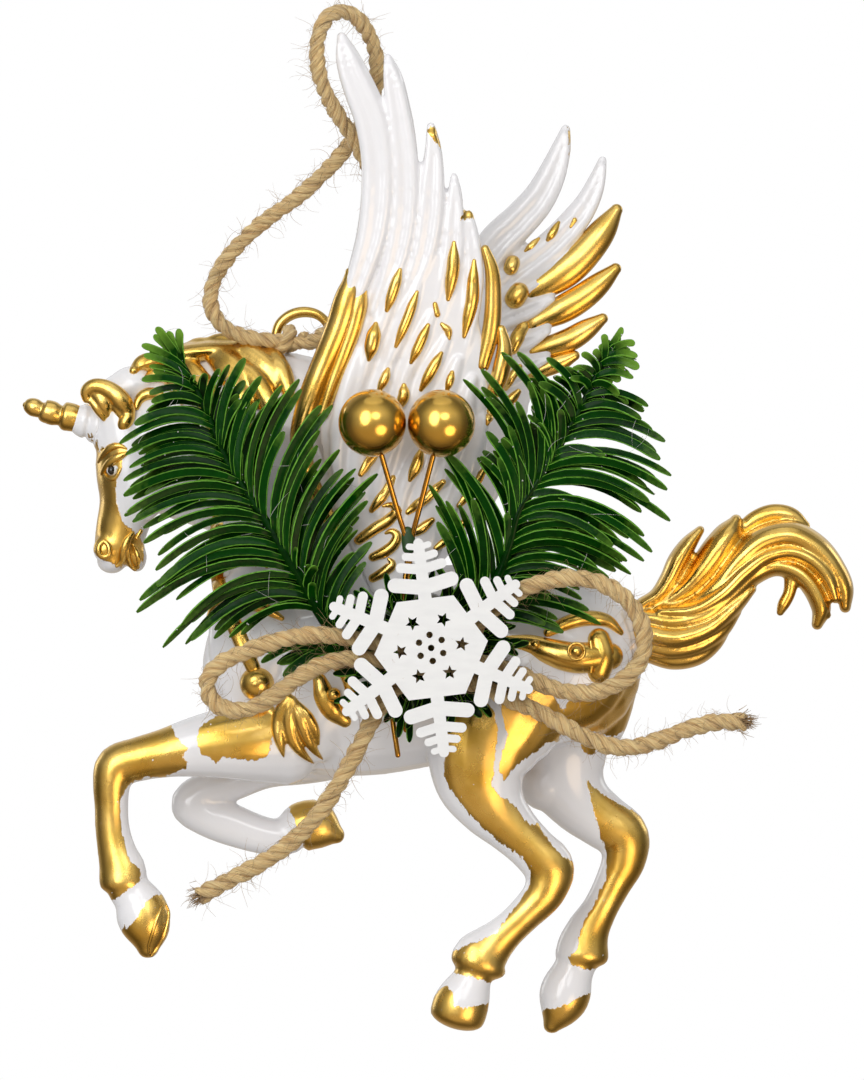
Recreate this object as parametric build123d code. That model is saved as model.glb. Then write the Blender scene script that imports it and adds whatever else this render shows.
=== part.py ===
from build123d import *
import os
from math import atan2, cos, degrees, pi, radians, sin, sqrt, tan

# Winged unicorn ornament that hangs from a moulded eye, with a glued spray of decorations on its near side.
# Frame: millimetres, origin at the centre of the hanging eye, +X to the tail, +Y to the far side, +Z up.
# A table whose name ends in shares holds hand-chosen shares of the sizes of the piece it belongs to.

# Body
torso_length = 76.6
torso_height = 38.7
torso_width = 28.0
chest_place = (-17.2, 0.0, -59.3)
neck_length = 35.2
neck_thickness = 35.2
head_length = 35.2
head_depth = 10.6
head_width = 15.0
shell_wall = 2.2
pin_diameter = 1.2
pin_length = 3.0
pin_clearance = 0.1
ring_points = 8
end_shares = ((0.5, 0.84), (0.88, 0.42))
torso_shares = (
    (0.14, 0.04, 0.42, 0.4), (0.333, -0.02, 0.48, 0.5), (0.53, 0.0, 0.455, 0.5), (0.7, 0.02, 0.45, 0.49),
    (0.86, 0.04, 0.4, 0.42),
)
pin_stations = ((1, -1), (2, -1), (3, -1), (4, -1), (3, 1), (4, 1))
side_cap_share = 0.94

# Neck and head, drawn from the shoulder and from the poll
shoulder_share = (0.287, 0.295)
neck_shares = (
    (0.0, 0.0, 0.0, 0.5, 0.35), (-0.06, 0.35, 0.0, 0.56, 0.35), (-0.2, 0.625, 0.0, 0.64, 0.32),
    (-0.425, 0.775, 0.0, 0.5, 0.28), (-0.65, 0.79, 0.0, 0.42, 0.25), (-0.825, 0.78, 0.0, 0.37, 0.22),
    (-0.95, 0.79, 0.0, 0.29, 0.18),
)
poll_share = (-1.07, 1.075)
head_shares = (
    (0.0, 0.0, 0.33, 0.35), (-0.005, -0.1, 0.38, 0.45), (0.01, -0.25, 0.45, 0.5), (0.035, -0.425, 0.5, 0.48),
    (0.04, -0.6, 0.48, 0.42), (0.025, -0.725, 0.43, 0.35), (0.01, -0.825, 0.4, 0.36),
    (0.015, -0.9, 0.33, 0.32),
)

# Horn, drawn from the forehead to its tip
horn_length = 12.7
horn_thickness = 7.4
horn_place_share = (-0.1, -0.185)
horn_shares = (
    (0.0, 0.0, 0.0, 0.5, 0.45), (-0.2, 0.04, 0.0, 0.5, 0.45), (-0.27, 0.06, 0.0, 0.37, 0.35),
    (-0.36, 0.08, 0.0, 0.42, 0.4), (-0.46, 0.12, 0.0, 0.36, 0.34), (-0.52, 0.13, 0.0, 0.25, 0.25),
    (-0.61, 0.15, 0.0, 0.3, 0.3), (-0.7, 0.18, 0.0, 0.25, 0.25), (-0.77, 0.19, 0.0, 0.16, 0.16),
    (-0.87, 0.21, 0.0, 0.19, 0.19), (-0.98, 0.24, 0.0, 0.1, 0.1),
)

# Ears, drawn from the root on the side of the poll
ear_length = 9.0
ear_thickness = 3.2
ear_place_share = (0.015, -0.02)
ear_spread = 4.2
ear_shares = (
    (0.1, -0.55, 0.0, 0.5, 0.4), (0.06, -0.25, 0.06, 0.56, 0.4), (-0.12, 0.0, 0.12, 0.6, 0.38),
    (-0.42, 0.14, 0.17, 0.5, 0.34), (-0.68, 0.08, 0.2, 0.3, 0.24), (-0.78, -0.08, 0.2, 0.16, 0.14),
)

# Eyes, seated on the sides of the head
eye_radius = 1.1
eye_stand = 0.35
eye_place_share = (-0.02, -0.43)

# Forelock and mane, drawn from the poll
mane_length = 28.0
mane_thickness = 5.2
mane_stand = 1.3
mane_shares = (
    ((0.15, 0.06, 0.5), (0.4, 0.17, 0.62), (0.69, 0.19, 0.66), (0.97, 0.15, 0.6), (1.14, 0.08, 0.4)),
    ((0.15, 0.08, 0.4), (0.26, 0.0, 0.42), (0.34, -0.13, 0.36), (0.33, -0.27, 0.12)),
    ((0.31, 0.16, 0.4), (0.47, 0.08, 0.46), (0.58, -0.08, 0.4), (0.59, -0.28, 0.12)),
    ((0.5, 0.18, 0.4), (0.67, 0.11, 0.46), (0.8, -0.06, 0.4), (0.84, -0.28, 0.12)),
    ((0.69, 0.19, 0.4), (0.86, 0.12, 0.46), (0.98, -0.04, 0.4), (1.03, -0.27, 0.12)),
    ((0.92, 0.17, 0.34), (1.05, 0.04, 0.34), (1.11, -0.14, 0.12)),
)

# Legs, drawn from the joint inside the torso down to the hoof
foreleg_length = 35.2
hindleg_length = 35.2
leg_thickness = 7.04
foreleg_spread = 7.5
hindleg_spread = 7.5
near_foreleg_place_share = (0.103, -0.32)
near_foreleg_shares = (
    (0.0, 0.0, 0.0, 0.95, 0.8), (-0.225, -0.05, 0.0, 0.78, 0.65), (-0.425, -0.09, 0.0, 0.63, 0.55),
    (-0.6, -0.125, 0.0, 0.55, 0.5), (-0.695, -0.21, 0.0, 0.475, 0.47), (-0.7, -0.35, 0.0, 0.4, 0.4),
    (-0.69, -0.55, 0.0, 0.38, 0.38), (-0.645, -0.715, 0.0, 0.5, 0.45), (-0.595, -0.8, 0.0, 0.42, 0.4),
    (-0.54, -0.88, 0.0, 0.7, 0.6), (-0.52, -0.975, 0.0, 0.55, 0.5), (-0.515, -1.07, 0.0, 0.22, 0.28),
)
far_foreleg_place_share = (0.195, -0.41)
far_foreleg_shares = (
    (0.0, 0.02, 0.0, 0.6, 0.6), (-0.25, -0.09, 0.0, 0.44, 0.46), (-0.41, -0.14, 0.0, 0.4, 0.42),
    (-0.51, -0.205, 0.0, 0.38, 0.42), (-0.515, -0.3, 0.0, 0.36, 0.4), (-0.42, -0.365, 0.0, 0.38, 0.4),
    (-0.275, -0.395, 0.0, 0.42, 0.4), (-0.14, -0.41, 0.0, 0.45, 0.42), (-0.05, -0.405, 0.0, 0.36, 0.38),
    (0.035, -0.385, 0.0, 0.6, 0.55), (0.14, -0.365, 0.0, 0.55, 0.5), (0.225, -0.355, 0.0, 0.24, 0.3),
)
near_hindleg_place_share = (0.632, -0.34)
near_hindleg_shares = (
    (0.0, 0.0, 0.0, 1.35, 1.05), (0.015, -0.2, 0.0, 1.05, 0.88), (0.1, -0.375, 0.0, 0.78, 0.7),
    (0.21, -0.5, 0.0, 0.65, 0.6), (0.325, -0.63, 0.0, 0.6, 0.5), (0.3, -0.76, 0.0, 0.5, 0.45),
    (0.195, -0.88, 0.0, 0.44, 0.42), (0.08, -1.0, 0.0, 0.48, 0.45), (-0.005, -1.09, 0.0, 0.55, 0.5),
    (-0.05, -1.165, 0.0, 0.46, 0.45), (-0.085, -1.24, 0.0, 0.62, 0.58), (-0.13, -1.34, 0.0, 0.66, 0.6),
    (-0.155, -1.39, 0.0, 0.5, 0.5),
)
far_hindleg_place_share = (0.839, -0.32)
far_hindleg_shares = (
    (0.0, 0.0, 0.0, 1.35, 1.05), (-0.015, -0.2, 0.0, 1.08, 0.88), (0.065, -0.35, 0.0, 0.85, 0.7),
    (0.175, -0.445, 0.0, 0.7, 0.6), (0.265, -0.55, 0.0, 0.62, 0.5), (0.24, -0.68, 0.0, 0.55, 0.45),
    (0.16, -0.84, 0.0, 0.47, 0.42), (0.09, -0.97, 0.0, 0.52, 0.45), (0.05, -1.075, 0.0, 0.6, 0.5),
    (0.02, -1.16, 0.0, 0.46, 0.45), (-0.01, -1.24, 0.0, 0.65, 0.58), (-0.055, -1.34, 0.0, 0.62, 0.6),
    (-0.08, -1.4, 0.0, 0.46, 0.46),
)

# Tail, drawn from the dock on the rump
tail_length = 35.2
tail_thickness = 7.04
tail_place_share = (1.0, 0.18)
tail_shares = (
    (-0.2, 0.7, (
        (-0.06, 0.04, 0.5), (0.125, 0.185, 0.5), (0.215, 0.325, 0.42), (0.285, 0.425, 0.27),
        (0.31, 0.475, 0.12),
    )),
    (0.2, 0.72, (
        (-0.06, 0.02, 0.6), (0.225, 0.1, 0.58), (0.36, 0.275, 0.48), (0.44, 0.425, 0.33), (0.48, 0.52, 0.14),
    )),
    (0.05, 0.95, (
        (-0.06, -0.03, 0.6), (0.26, -0.015, 0.6), (0.465, 0.165, 0.52), (0.585, 0.375, 0.46),
        (0.7, 0.49, 0.36),
        (0.795, 0.525, 0.2), (0.835, 0.505, 0.1),
    )),
    (0.0, 0.86, (
        (-0.05, -0.09, 0.42), (0.26, -0.12, 0.42), (0.49, 0.05, 0.46), (0.66, 0.275, 0.5), (0.815, 0.36, 0.5),
        (0.94, 0.265, 0.44), (1.005, 0.15, 0.32), (1.025, 0.09, 0.14),
    )),
    (-0.18, 0.6, (
        (0.58, 0.2, 0.35), (0.775, 0.295, 0.36), (0.865, 0.21, 0.3), (0.905, 0.095, 0.22), (0.895, 0.02, 0.1),
    )),
    (-0.3, 0.4, ((0.6, 0.25, 0.24), (0.725, 0.2, 0.2), (0.725, 0.115, 0.16), (0.705, 0.065, 0.07))),
)

# Wings, drawn from their roots on the sides of the shoulder: a web, then feathers of stepped thickness
wing_length = 88.0
feather_width = 8.8
web_thickness = 5.0
wing_lean = 5.5
near_wing_place_share = (0.448, 0.568)
near_wing_root = 12.4
near_feather_shares = (
    (0.9, (
        (0.03, -0.14, 0.5), (0.01, -0.05, 1.0), (0.004, 0.03, 1.35), (-0.004, 0.13, 1.75),
        (-0.006, 0.24, 1.95),
        (-0.01, 0.38, 1.55), (-0.01, 0.5, 1.0),
    )),
    (0.84, (
        (-0.1, 0.24, 0.48), (-0.064, 0.38, 0.44), (-0.036, 0.52, 0.4), (-0.032, 0.64, 0.36),
        (-0.044, 0.75, 0.32),
        (-0.064, 0.85, 0.28), (-0.094, 0.93, 0.22), (-0.113, 0.985, 0.13),
    )),
    (0.78, (
        (-0.03, 0.28, 0.48), (0.004, 0.44, 0.4), (0.012, 0.58, 0.35), (0.01, 0.7, 0.3), (0.004, 0.8, 0.26),
        (-0.006, 0.88, 0.22), (-0.018, 0.935, 0.14),
    )),
    (0.72, (
        (0.02, 0.24, 0.48), (0.056, 0.4, 0.4), (0.068, 0.54, 0.34), (0.068, 0.65, 0.28), (0.066, 0.74, 0.22),
        (0.062, 0.8, 0.14),
    )),
    (0.66, (
        (0.07, 0.2, 0.46), (0.104, 0.36, 0.4), (0.116, 0.5, 0.34), (0.116, 0.61, 0.26), (0.112, 0.68, 0.18),
        (0.109, 0.708, 0.12),
    )),
    (0.6, (
        (0.11, 0.17, 0.44), (0.142, 0.32, 0.38), (0.152, 0.46, 0.3), (0.15, 0.56, 0.24), (0.142, 0.616, 0.16),
        (0.139, 0.636, 0.1),
    )),
    (0.54, ((0.14, 0.12, 0.42), (0.174, 0.27, 0.36), (0.184, 0.41, 0.28), (0.184, 0.5, 0.2),
     (0.176, 0.55, 0.14))),
    (0.48, ((0.15, 0.08, 0.36), (0.19, 0.22, 0.3), (0.206, 0.33, 0.18), (0.204, 0.4, 0.1))),
    (1.0, (
        (-0.125, 0.01, 0.14), (-0.156, 0.07, 0.16), (-0.184, 0.15, 0.17), (-0.198, 0.22, 0.22),
        (-0.188, 0.29, 0.27),
        (-0.164, 0.38, 0.27), (-0.13, 0.46, 0.25), (-0.102, 0.52, 0.18),
    )),
)
far_wing_place_share = (0.517, 0.568)
far_wing_root = 12.4
far_feather_shares = (
    (0.9, (
        (-0.01, -0.1, 0.6), (0.0, 0.01, 1.0), (0.02, 0.12, 1.25), (0.06, 0.25, 1.35), (0.11, 0.38, 1.15),
        (0.14, 0.5, 0.8), (0.15, 0.58, 0.45),
    )),
    (0.84, (
        (0.09, 0.4, 0.6), (0.13, 0.52, 0.52), (0.18, 0.61, 0.42), (0.22, 0.68, 0.32), (0.25, 0.75, 0.24),
        (0.27, 0.81, 0.13),
    )),
    (0.78, (
        (0.14, 0.38, 0.36), (0.19, 0.48, 0.36), (0.24, 0.57, 0.32), (0.284, 0.64, 0.26), (0.324, 0.71, 0.2),
        (0.344, 0.752, 0.12),
    )),
    (0.72, ((0.14, 0.41, 0.3), (0.23, 0.52, 0.28), (0.3, 0.58, 0.24), (0.346, 0.626, 0.18),
     (0.366, 0.655, 0.1))),
    (0.66, ((0.13, 0.38, 0.3), (0.22, 0.452, 0.24), (0.28, 0.484, 0.22), (0.34, 0.516, 0.18),
     (0.365, 0.536, 0.1))),
    (0.6, ((0.12, 0.33, 0.3), (0.2, 0.38, 0.22), (0.26, 0.402, 0.2), (0.316, 0.422, 0.18),
     (0.338, 0.436, 0.1))),
    (0.54, ((0.11, 0.27, 0.28), (0.21, 0.342, 0.18), (0.256, 0.358, 0.15), (0.284, 0.37, 0.08))),
)

# Moulded hanging eye on the crest of the neck
eye_width = 7.4
eye_bar = 1.7
eye_top = 2.3
eye_drop = 9.0
eye_bend_share = 0.98

# Gold relief on both flanks, drawn from the middle of the chest line
relief_length = 17.6
relief_thickness = 3.5
relief_sink = 0.9
rump_strap_place_share = (0.72, 0.07)
rump_strap_shares = (
    (0.0, 0.02, 0.0, 0.34, 0.3), (0.18, 0.0, 0.0, 0.62, 0.4), (0.42, -0.03, 0.0, 0.88, 0.42),
    (0.66, -0.05, 0.0, 0.88, 0.42), (0.83, -0.06, 0.0, 0.6, 0.36),
)
collar_place_share = (0.037, 0.65)
collar_shares = (
    (0.0, 0.0, 0.0, 0.6, 0.4), (0.0, -0.3, 0.02, 0.6, 0.4), (0.0, -0.6, 0.04, 0.55, 0.4),
    (0.06, -0.95, 0.06, 0.5, 0.4), (0.22, -1.3, 0.1, 0.42, 0.4), (0.34, -1.5, 0.12, 0.36, 0.36),
)
chest_ball_radius = 3.1
chest_ball_place_share = (0.121, -0.082)
saddle_band_place_share = (0.79, 0.2)
saddle_band_shares = (
    (0.0, 0.0, 0.0, 0.4, 0.36), (0.25, 0.03, 0.0, 0.5, 0.4), (0.5, -0.04, 0.0, 0.5, 0.4),
    (0.68, -0.2, 0.0, 0.3, 0.3),
)

# Glue pad that carries the decorations on the near flank
pad_place_share = (0.486, 0.11)
pad_depth = 11.0
pad_size = 24.0
pad_reach = 20.0
pad_shares = (
    (0.0, -0.36, 0.0, 0.36, 0.36), (0.0, -0.2, 0.0, 0.47, 0.47), (0.0, 0.0, 0.0, 0.5, 0.5),
    (0.0, 0.2, 0.0, 0.46, 0.47), (0.0, 0.36, 0.0, 0.34, 0.36),
)

# Evergreen sprigs, drawn from their cut ends in the pad
sprig_length = 61.6
stem_width_share = 0.039
sprig_sink = 4.0
needle_length_share = 0.349
needle_width_share = 0.0308
needle_thickness = 0.8
needle_pairs = 16
left_sprig_place_share = (-0.33, -0.11)
right_sprig_place_share = (0.3, 0.04)
left_stem_shares = (
    (0.0, 0.0, 0.0), (-0.147, 0.108, 0.05), (-0.207, 0.205, 0.075), (-0.299, 0.388, 0.085),
    (-0.379, 0.514, 0.085),
    (-0.456, 0.677, 0.085), (-0.527, 0.817, 0.085), (-0.59, 0.931, 0.085),
)
right_stem_shares = (
    (0.0, 0.0, 0.0), (0.118, 0.186, 0.06), (0.175, 0.357, 0.08), (0.229, 0.44, 0.085), (0.306, 0.572, 0.085),
    (0.378, 0.717, 0.085), (0.441, 0.814, 0.085), (0.472, 0.872, 0.085),
)
needle_profile_share = ((0.0, 0.55), (0.35, 1.0), (0.72, 0.95), (1.0, 0.3))
needle_grow_share = ((0.0, 0.8), (0.2, 1.0), (0.65, 1.0), (0.9, 0.66), (1.0, 0.45))
outer_start = 38.0
outer_turn = 46.0
inner_start = 34.0
inner_turn = 14.0
back_lean = 2.0
front_lean = 9.0
layer_offset = 0.55
bare_stem_share = 0.12
needle_run_share = 0.83

# Two balls on wire stems
ball_diameter = 11.9
ball_spacing = 12.1
ball_place_share = (-0.07, 1.59)
ball_rise = 5.5
wire_diameter = 1.0
wire_fit = 0.1
wire_sink = 1.6
wire_cross_share = (-0.056, 0.737)
wire_end_shares = ((-0.137, -0.833), (-0.078, -0.649))
wire_lay = 0.62
tape_length = 3.4
tape_wall = 0.5

# Snowflake, flat, turned a little
flake_radius = 19.3
flake_thickness = 2.0
flake_turn = 7.0
flake_place_share = (0.105, -0.047)
flake_hub_radius = 10.0
spine_half_width = 1.35
spine_tip_half_width = 0.95
flake_tip_radius = 0.85
finger_rise = 11.0
finger_shares = ((0.55, 0.262, 0.066), (0.715, 0.19, 0.045), (0.822, 0.132, 0.036), (0.918, 0.09, 0.029))
star_ring_radius = 5.4
star_radius = 1.3
star_waist = 0.6
star_points = 5
bore_ring_radius = 2.3
bore_radius = 0.57
flake_arms = 6

# Twine bow and hanging loop. The bow's routes are hand-chosen points from the middle of its knot, in millimetres.
bow_diameter = 3.1
loop_diameter = 2.8
knot_length = 12.0
knot_height = 8.4
knot_depth = 7.2
knot_place_share = (0.1, -0.075)
knot_shares = (
    (-0.4, 0.0, 0.0, 0.32, 0.36), (-0.2, 0.02, 0.0, 0.46, 0.5), (0.2, -0.02, 0.0, 0.46, 0.5),
    (0.4, 0.0, 0.0, 0.32, 0.36),
)
hanger_knot_size = 5.4
hanger_knot_place = (-1.2, -2.0, -2.4)
hanger_knot_shares = (
    (-0.42, -0.04, 0.0, 0.3, 0.44), (-0.16, 0.04, 0.0, 0.46, 0.62), (0.16, -0.04, 0.0, 0.46, 0.62),
    (0.42, 0.0, 0.0, 0.3, 0.44),
)
bend_share = 0.45
left_loop_route = (
    (-4.4, -1.6, 1.2), (-8.8, -1.8, 1.6), (-13.4, -1.8, 2.2), (-18.0, -2.1, 3.0), (-22.8, -2.6, 2.9),
    (-27.6, -3.1, 1.7), (-32.2, -3.1, 0.1), (-36.4, -2.6, -1.6), (-39.3, -2.2, -4.6), (-38.8, -1.8, -8.4),
    (-35.4, -1.6, -10.5), (-31.2, -1.6, -10.0), (-27.2, -1.4, -7.7), (-23.4, -1.2, -4.7), (-19.6, -1.1, -2.4),
    (-15.2, -0.8, -1.2), (-10.4, -0.2, -1.3), (-5.7, -0.1, -1.8),
)
right_loop_route = (
    (5.0, -1.6, 1.2), (8.2, -1.8, 4.4), (11.4, -1.9, 8.0), (15.6, -1.9, 10.8), (20.4, -2.3, 12.5),
    (25.4, -2.8, 13.1), (30.2, -2.6, 12.0), (34.3, -2.2, 9.4), (36.9, -1.8, 5.6), (37.7, -1.4, 1.4),
    (36.5, -1.1, -2.6), (33.2, -0.8, -5.6), (28.8, -0.8, -7.3), (24.2, -0.6, -7.3), (19.8, -0.6, -5.9),
    (15.6, -0.4, -3.9), (11.0, -0.2, -2.1), (6.2, -0.1, -1.9),
)
left_tail_route = (
    (-3.2, -0.1, -4.4), (-7.0, -1.2, -6.8), (-9.6, -1.1, -10.8), (-11.8, -0.6, -15.2), (-14.2, -0.2, -19.8),
    (-16.8, 0.4, -24.4), (-20.2, 0.9, -29.2), (-24.4, 1.8, -33.6), (-29.6, 2.4, -37.1), (-35.0, 2.9, -40.0),
    (-40.5, 3.4, -42.8),
)
right_tail_route = (
    (4.0, -0.6, -4.2), (7.8, -1.2, -5.6), (12.0, -0.8, -7.5), (16.6, -0.2, -9.4), (21.4, 0.4, -11.8),
    (26.2, 0.9, -14.6), (30.6, 1.8, -16.6), (35.4, 2.6, -17.0), (40.4, 3.4, -15.5), (45.4, 3.9, -13.4),
    (50.4, 4.4, -12.1), (55.2, 4.4, -12.4),
)
hanging_route = (
    (-3.2, -3.6, -2.4), (-6.0, -4.4, -2.2), (-9.4, -4.8, -1.9), (-12.8, -4.8, -0.8), (-15.6, -4.6, 1.8),
    (-16.5, -4.6, 5.6), (-15.2, -5.0, 9.6), (-12.6, -5.6, 13.2), (-9.4, -6.2, 16.6), (-5.6, -6.8, 19.6),
    (-1.6, -7.6, 22.4), (2.2, -8.4, 25.6), (5.6, -9.2, 29.0), (8.8, -9.8, 33.0), (11.4, -10.4, 37.4),
    (13.0, -11.0, 42.0), (13.2, -12.0, 46.8), (11.8, -14.0, 51.4), (8.8, -17.4, 55.4), (4.8, -20.6, 55.2),
    (2.6, -22.0, 51.4), (2.4, -21.6, 46.8), (3.4, -20.0, 42.4), (5.2, -17.4, 38.6), (8.0, -14.8, 34.6),
    (11.0, -13.6, 29.6), (13.2, -13.2, 24.0), (13.9, -12.8, 18.0), (13.2, -12.2, 12.2), (11.2, -11.0, 7.0),
    (8.2, -9.0, 2.6), (4.8, -6.4, -0.8), (1.0, -3.8, -2.6),
)


def place(root, share, length, height):
    """Point at a share of a piece's length and height from its root, in the middle plane."""
    return Vector(root.X + share[0] * length, root.Y, root.Z + share[1] * height)


def ring(centre, way, half_up, half_across):
    """Closed curve round one station of a limb, square to its way."""
    along = way.normalized()
    across = (Vector(0, 1, 0) - along * along.Y).normalized()
    up = along.cross(across)
    turns = [2 * pi * k / ring_points for k in range(ring_points)]
    points = [centre + across * (half_across * cos(t)) + up * (half_up * sin(t)) for t in turns]
    return Wire([Edge.make_spline(points, periodic=True)])


def rounded_end(station, outward, way):
    """Rings past a limb's last station that round its end off."""
    centre, half_up, half_across = station
    reach = min(half_up, half_across)
    step = outward.normalized() * reach
    return [ring(centre + step * out, way, half_up * left, half_across * left) for out, left in end_shares]


def limb(stations):
    """Smooth solid through stations of centre, half size in the picture plane and half size across it."""
    centres = [s[0] for s in stations]
    last = len(stations) - 1
    ways = [centres[min(i + 1, last)] - centres[max(i - 1, 0)] for i in range(last + 1)]
    rings = [ring(s[0], w, s[1], s[2]) for s, w in zip(stations, ways)]
    head = rounded_end(stations[0], ways[0] * -1, ways[0])
    tail = rounded_end(stations[-1], ways[-1], ways[-1])
    return Solid.make_loft(head[::-1] + rings + tail)


def stations(root, length, thickness, shares, side=1, across=None):
    """Stations of a limb from its table of shares. Side is -1 for a piece that leans to the near side."""
    across = thickness if across is None else across
    return [
        (root + Vector(x * length, side * y * length, z * length), up * thickness, wide * across)
        for x, z, y, up, wide in shares
    ]


def shrunk(rows, wall):
    """The same stations with a wall's thickness taken off all round."""
    return [(centre, up - wall, across - wall) for centre, up, across in rows]


def corner_radii(route):
    """Radius of the arc at each inner point of a route, as large as its two runs allow."""
    points = [Vector(*p) for p in route]
    radii = []
    for before, at, after in zip(points, points[1:], points[2:]):
        turn = radians((at - before).get_angle(after - at))
        run = min((at - before).length, (after - at).length)
        radii.append(bend_share * run / tan(turn / 2))
    return radii


def tube(route, diameter, radii=None):
    """Round bar along straight runs joined by tangent arcs."""
    radii = corner_radii(route) if radii is None else radii
    line = FilletPolyline(*route, radius=radii)
    section = Plane(origin=line @ 0, z_dir=line % 0) * Circle(diameter / 2)
    return sweep(section, path=line), line


def one(shape):
    """The largest solid of a cut or fused shape."""
    return max(shape.solids(), key=lambda s: s.volume)


def cord(name, route, diameter):
    """Tube of a free cord, with a line that says how tightly it bends and how its volume compares."""
    solid, line = tube(route, diameter)
    expected = pi * diameter * diameter / 4 * line.length
    print(name, "length", round(line.length, 1), "volume ratio", round(solid.volume / expected, 4))
    print(name, "radii", [round(r, 1) for r in corner_radii(route)])
    return one(solid)


def torso_stations():
    """Stations of the barrel, which is as wide as torso_width and as tall as torso_height."""
    root = Vector(*chest_place)
    return [
        (place(root, (x, z), torso_length, torso_height), up * torso_height, wide * torso_width)
        for x, z, up, wide in torso_shares
    ]


def on_torso(share):
    """Point in the middle plane at a share of the torso's length and height."""
    return place(Vector(*chest_place), share, torso_length, torso_height)


def torso_side(point):
    """Half width of the barrel at a point of the middle plane, between the stations on each side of it."""
    rows = torso_stations()
    inside = min(max(point.X, rows[0][0].X), rows[-1][0].X)
    after = next(i for i in range(1, len(rows)) if rows[i][0].X >= inside)
    a, b = rows[after - 1], rows[after]
    t = (inside - a[0].X) / (b[0].X - a[0].X)
    middle = a[0].Z + t * (b[0].Z - a[0].Z)
    half_up = a[1] + t * (b[1] - a[1])
    half_across = a[2] + t * (b[2] - a[2])
    lift = min(abs(point.Z - middle) / half_up, side_cap_share)
    return half_across * sqrt(1 - lift * lift)


def neck_stations():
    """Stations of the neck from the shoulder to the throat."""
    return stations(on_torso(shoulder_share), neck_length, neck_thickness, neck_shares)


def poll():
    """Top of the head, where the ears, forelock and mane start."""
    return place(on_torso(shoulder_share), poll_share, neck_length, neck_length)


def head_stations():
    """Stations of the head from the poll down to the lips."""
    return [
        (place(poll(), (x, z), head_length, head_length), up * head_depth, wide * head_width)
        for x, z, up, wide in head_shares
    ]


def body_solid():
    """Outside of torso, neck and head as one form."""
    return one(limb(torso_stations()) + limb(neck_stations()) + limb(head_stations()))


def body_hollow():
    """Inside of torso and neck; the head stays solid."""
    neck = shrunk(neck_stations(), shell_wall)[:-1]
    return one(limb(shrunk(torso_stations(), shell_wall)) + limb(neck))


def rim_pin(station, way, diameter):
    """Locating pin across the parting plane, in the rim of the shell."""
    centre, half_up, half_across = torso_stations()[station]
    height = centre.Z + way * (half_up - shell_wall / 2)
    return Pos(centre.X, 0, height) * Cylinder(diameter / 2, pin_length, rotation=(90, 0, 0))


def body_halves(body):
    """Near and far mouldings of the hollow body, with pins on one and sockets in the other."""
    shell = body - body_hollow()
    near = split(shell, bisect_by=Plane.XZ, keep=Keep.TOP)
    far = split(shell, bisect_by=Plane.XZ, keep=Keep.BOTTOM)
    pins = [rim_pin(station, way, pin_diameter) for station, way in pin_stations]
    sockets = [rim_pin(station, way, pin_diameter + 2 * pin_clearance) for station, way in pin_stations]
    return one(near + pins), one(far - sockets)


def horn():
    """Spiral horn as a row of shrinking beads."""
    root = place(poll(), horn_place_share, head_length, head_length)
    return limb(stations(root, horn_length, horn_thickness, horn_shares))


def ear(side):
    """One ear, curled forwards."""
    root = place(poll(), ear_place_share, head_length, head_length) + Vector(0, side * ear_spread, 0)
    return limb(stations(root, ear_length, ear_thickness, ear_shares, side))


def eye(side):
    """Domed eye let into the side of the head."""
    half_width = head_shares[3][3] * head_width
    at = place(poll(), eye_place_share, head_length, head_length)
    return Pos(at.X, side * (half_width - eye_stand), at.Z) * Rot(side * 90, 0, 0) * Sphere(eye_radius)


def leaf(places, halves, thickness):
    """Flat-sided lock or feather: smooth outline round a centre line in the picture plane, round at its tip."""
    last = len(places) - 1
    left, right = [], []
    for i, (at, half) in enumerate(zip(places, halves)):
        way = (places[min(i + 1, last)] - places[max(i - 1, 0)]).normalized()
        aside = Vector(-way.Z, 0, way.X) * half
        left.append(at + aside)
        right.append(at - aside)
    tip = places[-1] + (places[-1] - places[-2]).normalized() * halves[-1]
    outline = Wire([
        Edge.make_spline(left),
        Edge.make_three_point_arc(left[-1], tip, right[-1]),
        Edge.make_spline(right[::-1]),
        Edge.make_line(right[0], left[0]),
    ])
    return extrude(Face(outline), thickness / 2, dir=(0, 1, 0), both=True)


def mane(body):
    """Locks that hug both sides of the neck and meet over its crest."""
    locks = []
    for shares in mane_shares:
        places = [poll() + Vector(x * mane_length, 0, z * mane_length) for x, z, half in shares]
        locks.append(leaf(places, [half * mane_thickness for x, z, half in shares], neck_thickness))
    skin = limb(shrunk(neck_stations(), -mane_stand))
    return one((Part() + locks) & skin - body)


def leg(place_share, spread, length, shares):
    """One leg with its hoof."""
    root = on_torso(place_share) + Vector(0, spread, 0)
    return limb(stations(root, length, leg_thickness, shares))


def tail():
    """Locks of the tail, joined at the dock and along their length."""
    root = on_torso(tail_place_share)
    locks = []
    for offset, thickness, shares in tail_shares:
        start = root + Vector(0, offset * tail_thickness, 0)
        places = [start + Vector(x * tail_length, 0, z * tail_length) for x, z, half in shares]
        locks.append(leaf(places, [half * tail_thickness for x, z, half in shares], thickness * tail_thickness))
    return one(Part() + locks)


def wing(place_share, root_offset, feather_shares, side):
    """One wing: feathers of stepped thickness over a web on the shoulder, leaning outwards from its root."""
    root = on_torso(place_share) + Vector(0, side * root_offset, 0)
    feathers = []
    for thickness, shares in feather_shares:
        places = [root + Vector(x * wing_length, 0, z * wing_length) for x, z, half in shares]
        feathers.append(leaf(places, [half * feather_width for x, z, half in shares], thickness * web_thickness))
    return one(Part() + feathers).rotate(Axis(root, (1, 0, 0)), -side * wing_lean)


def hanging_eye():
    """Half-round bar with two legs down into the crest."""
    half = eye_width / 2
    route = ((-half, 0, -eye_drop), (-half, 0, eye_top), (half, 0, eye_top), (half, 0, -eye_drop))
    solid, line = tube(route, eye_bar, [half * eye_bend_share, half * eye_bend_share])
    return one(solid)


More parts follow.
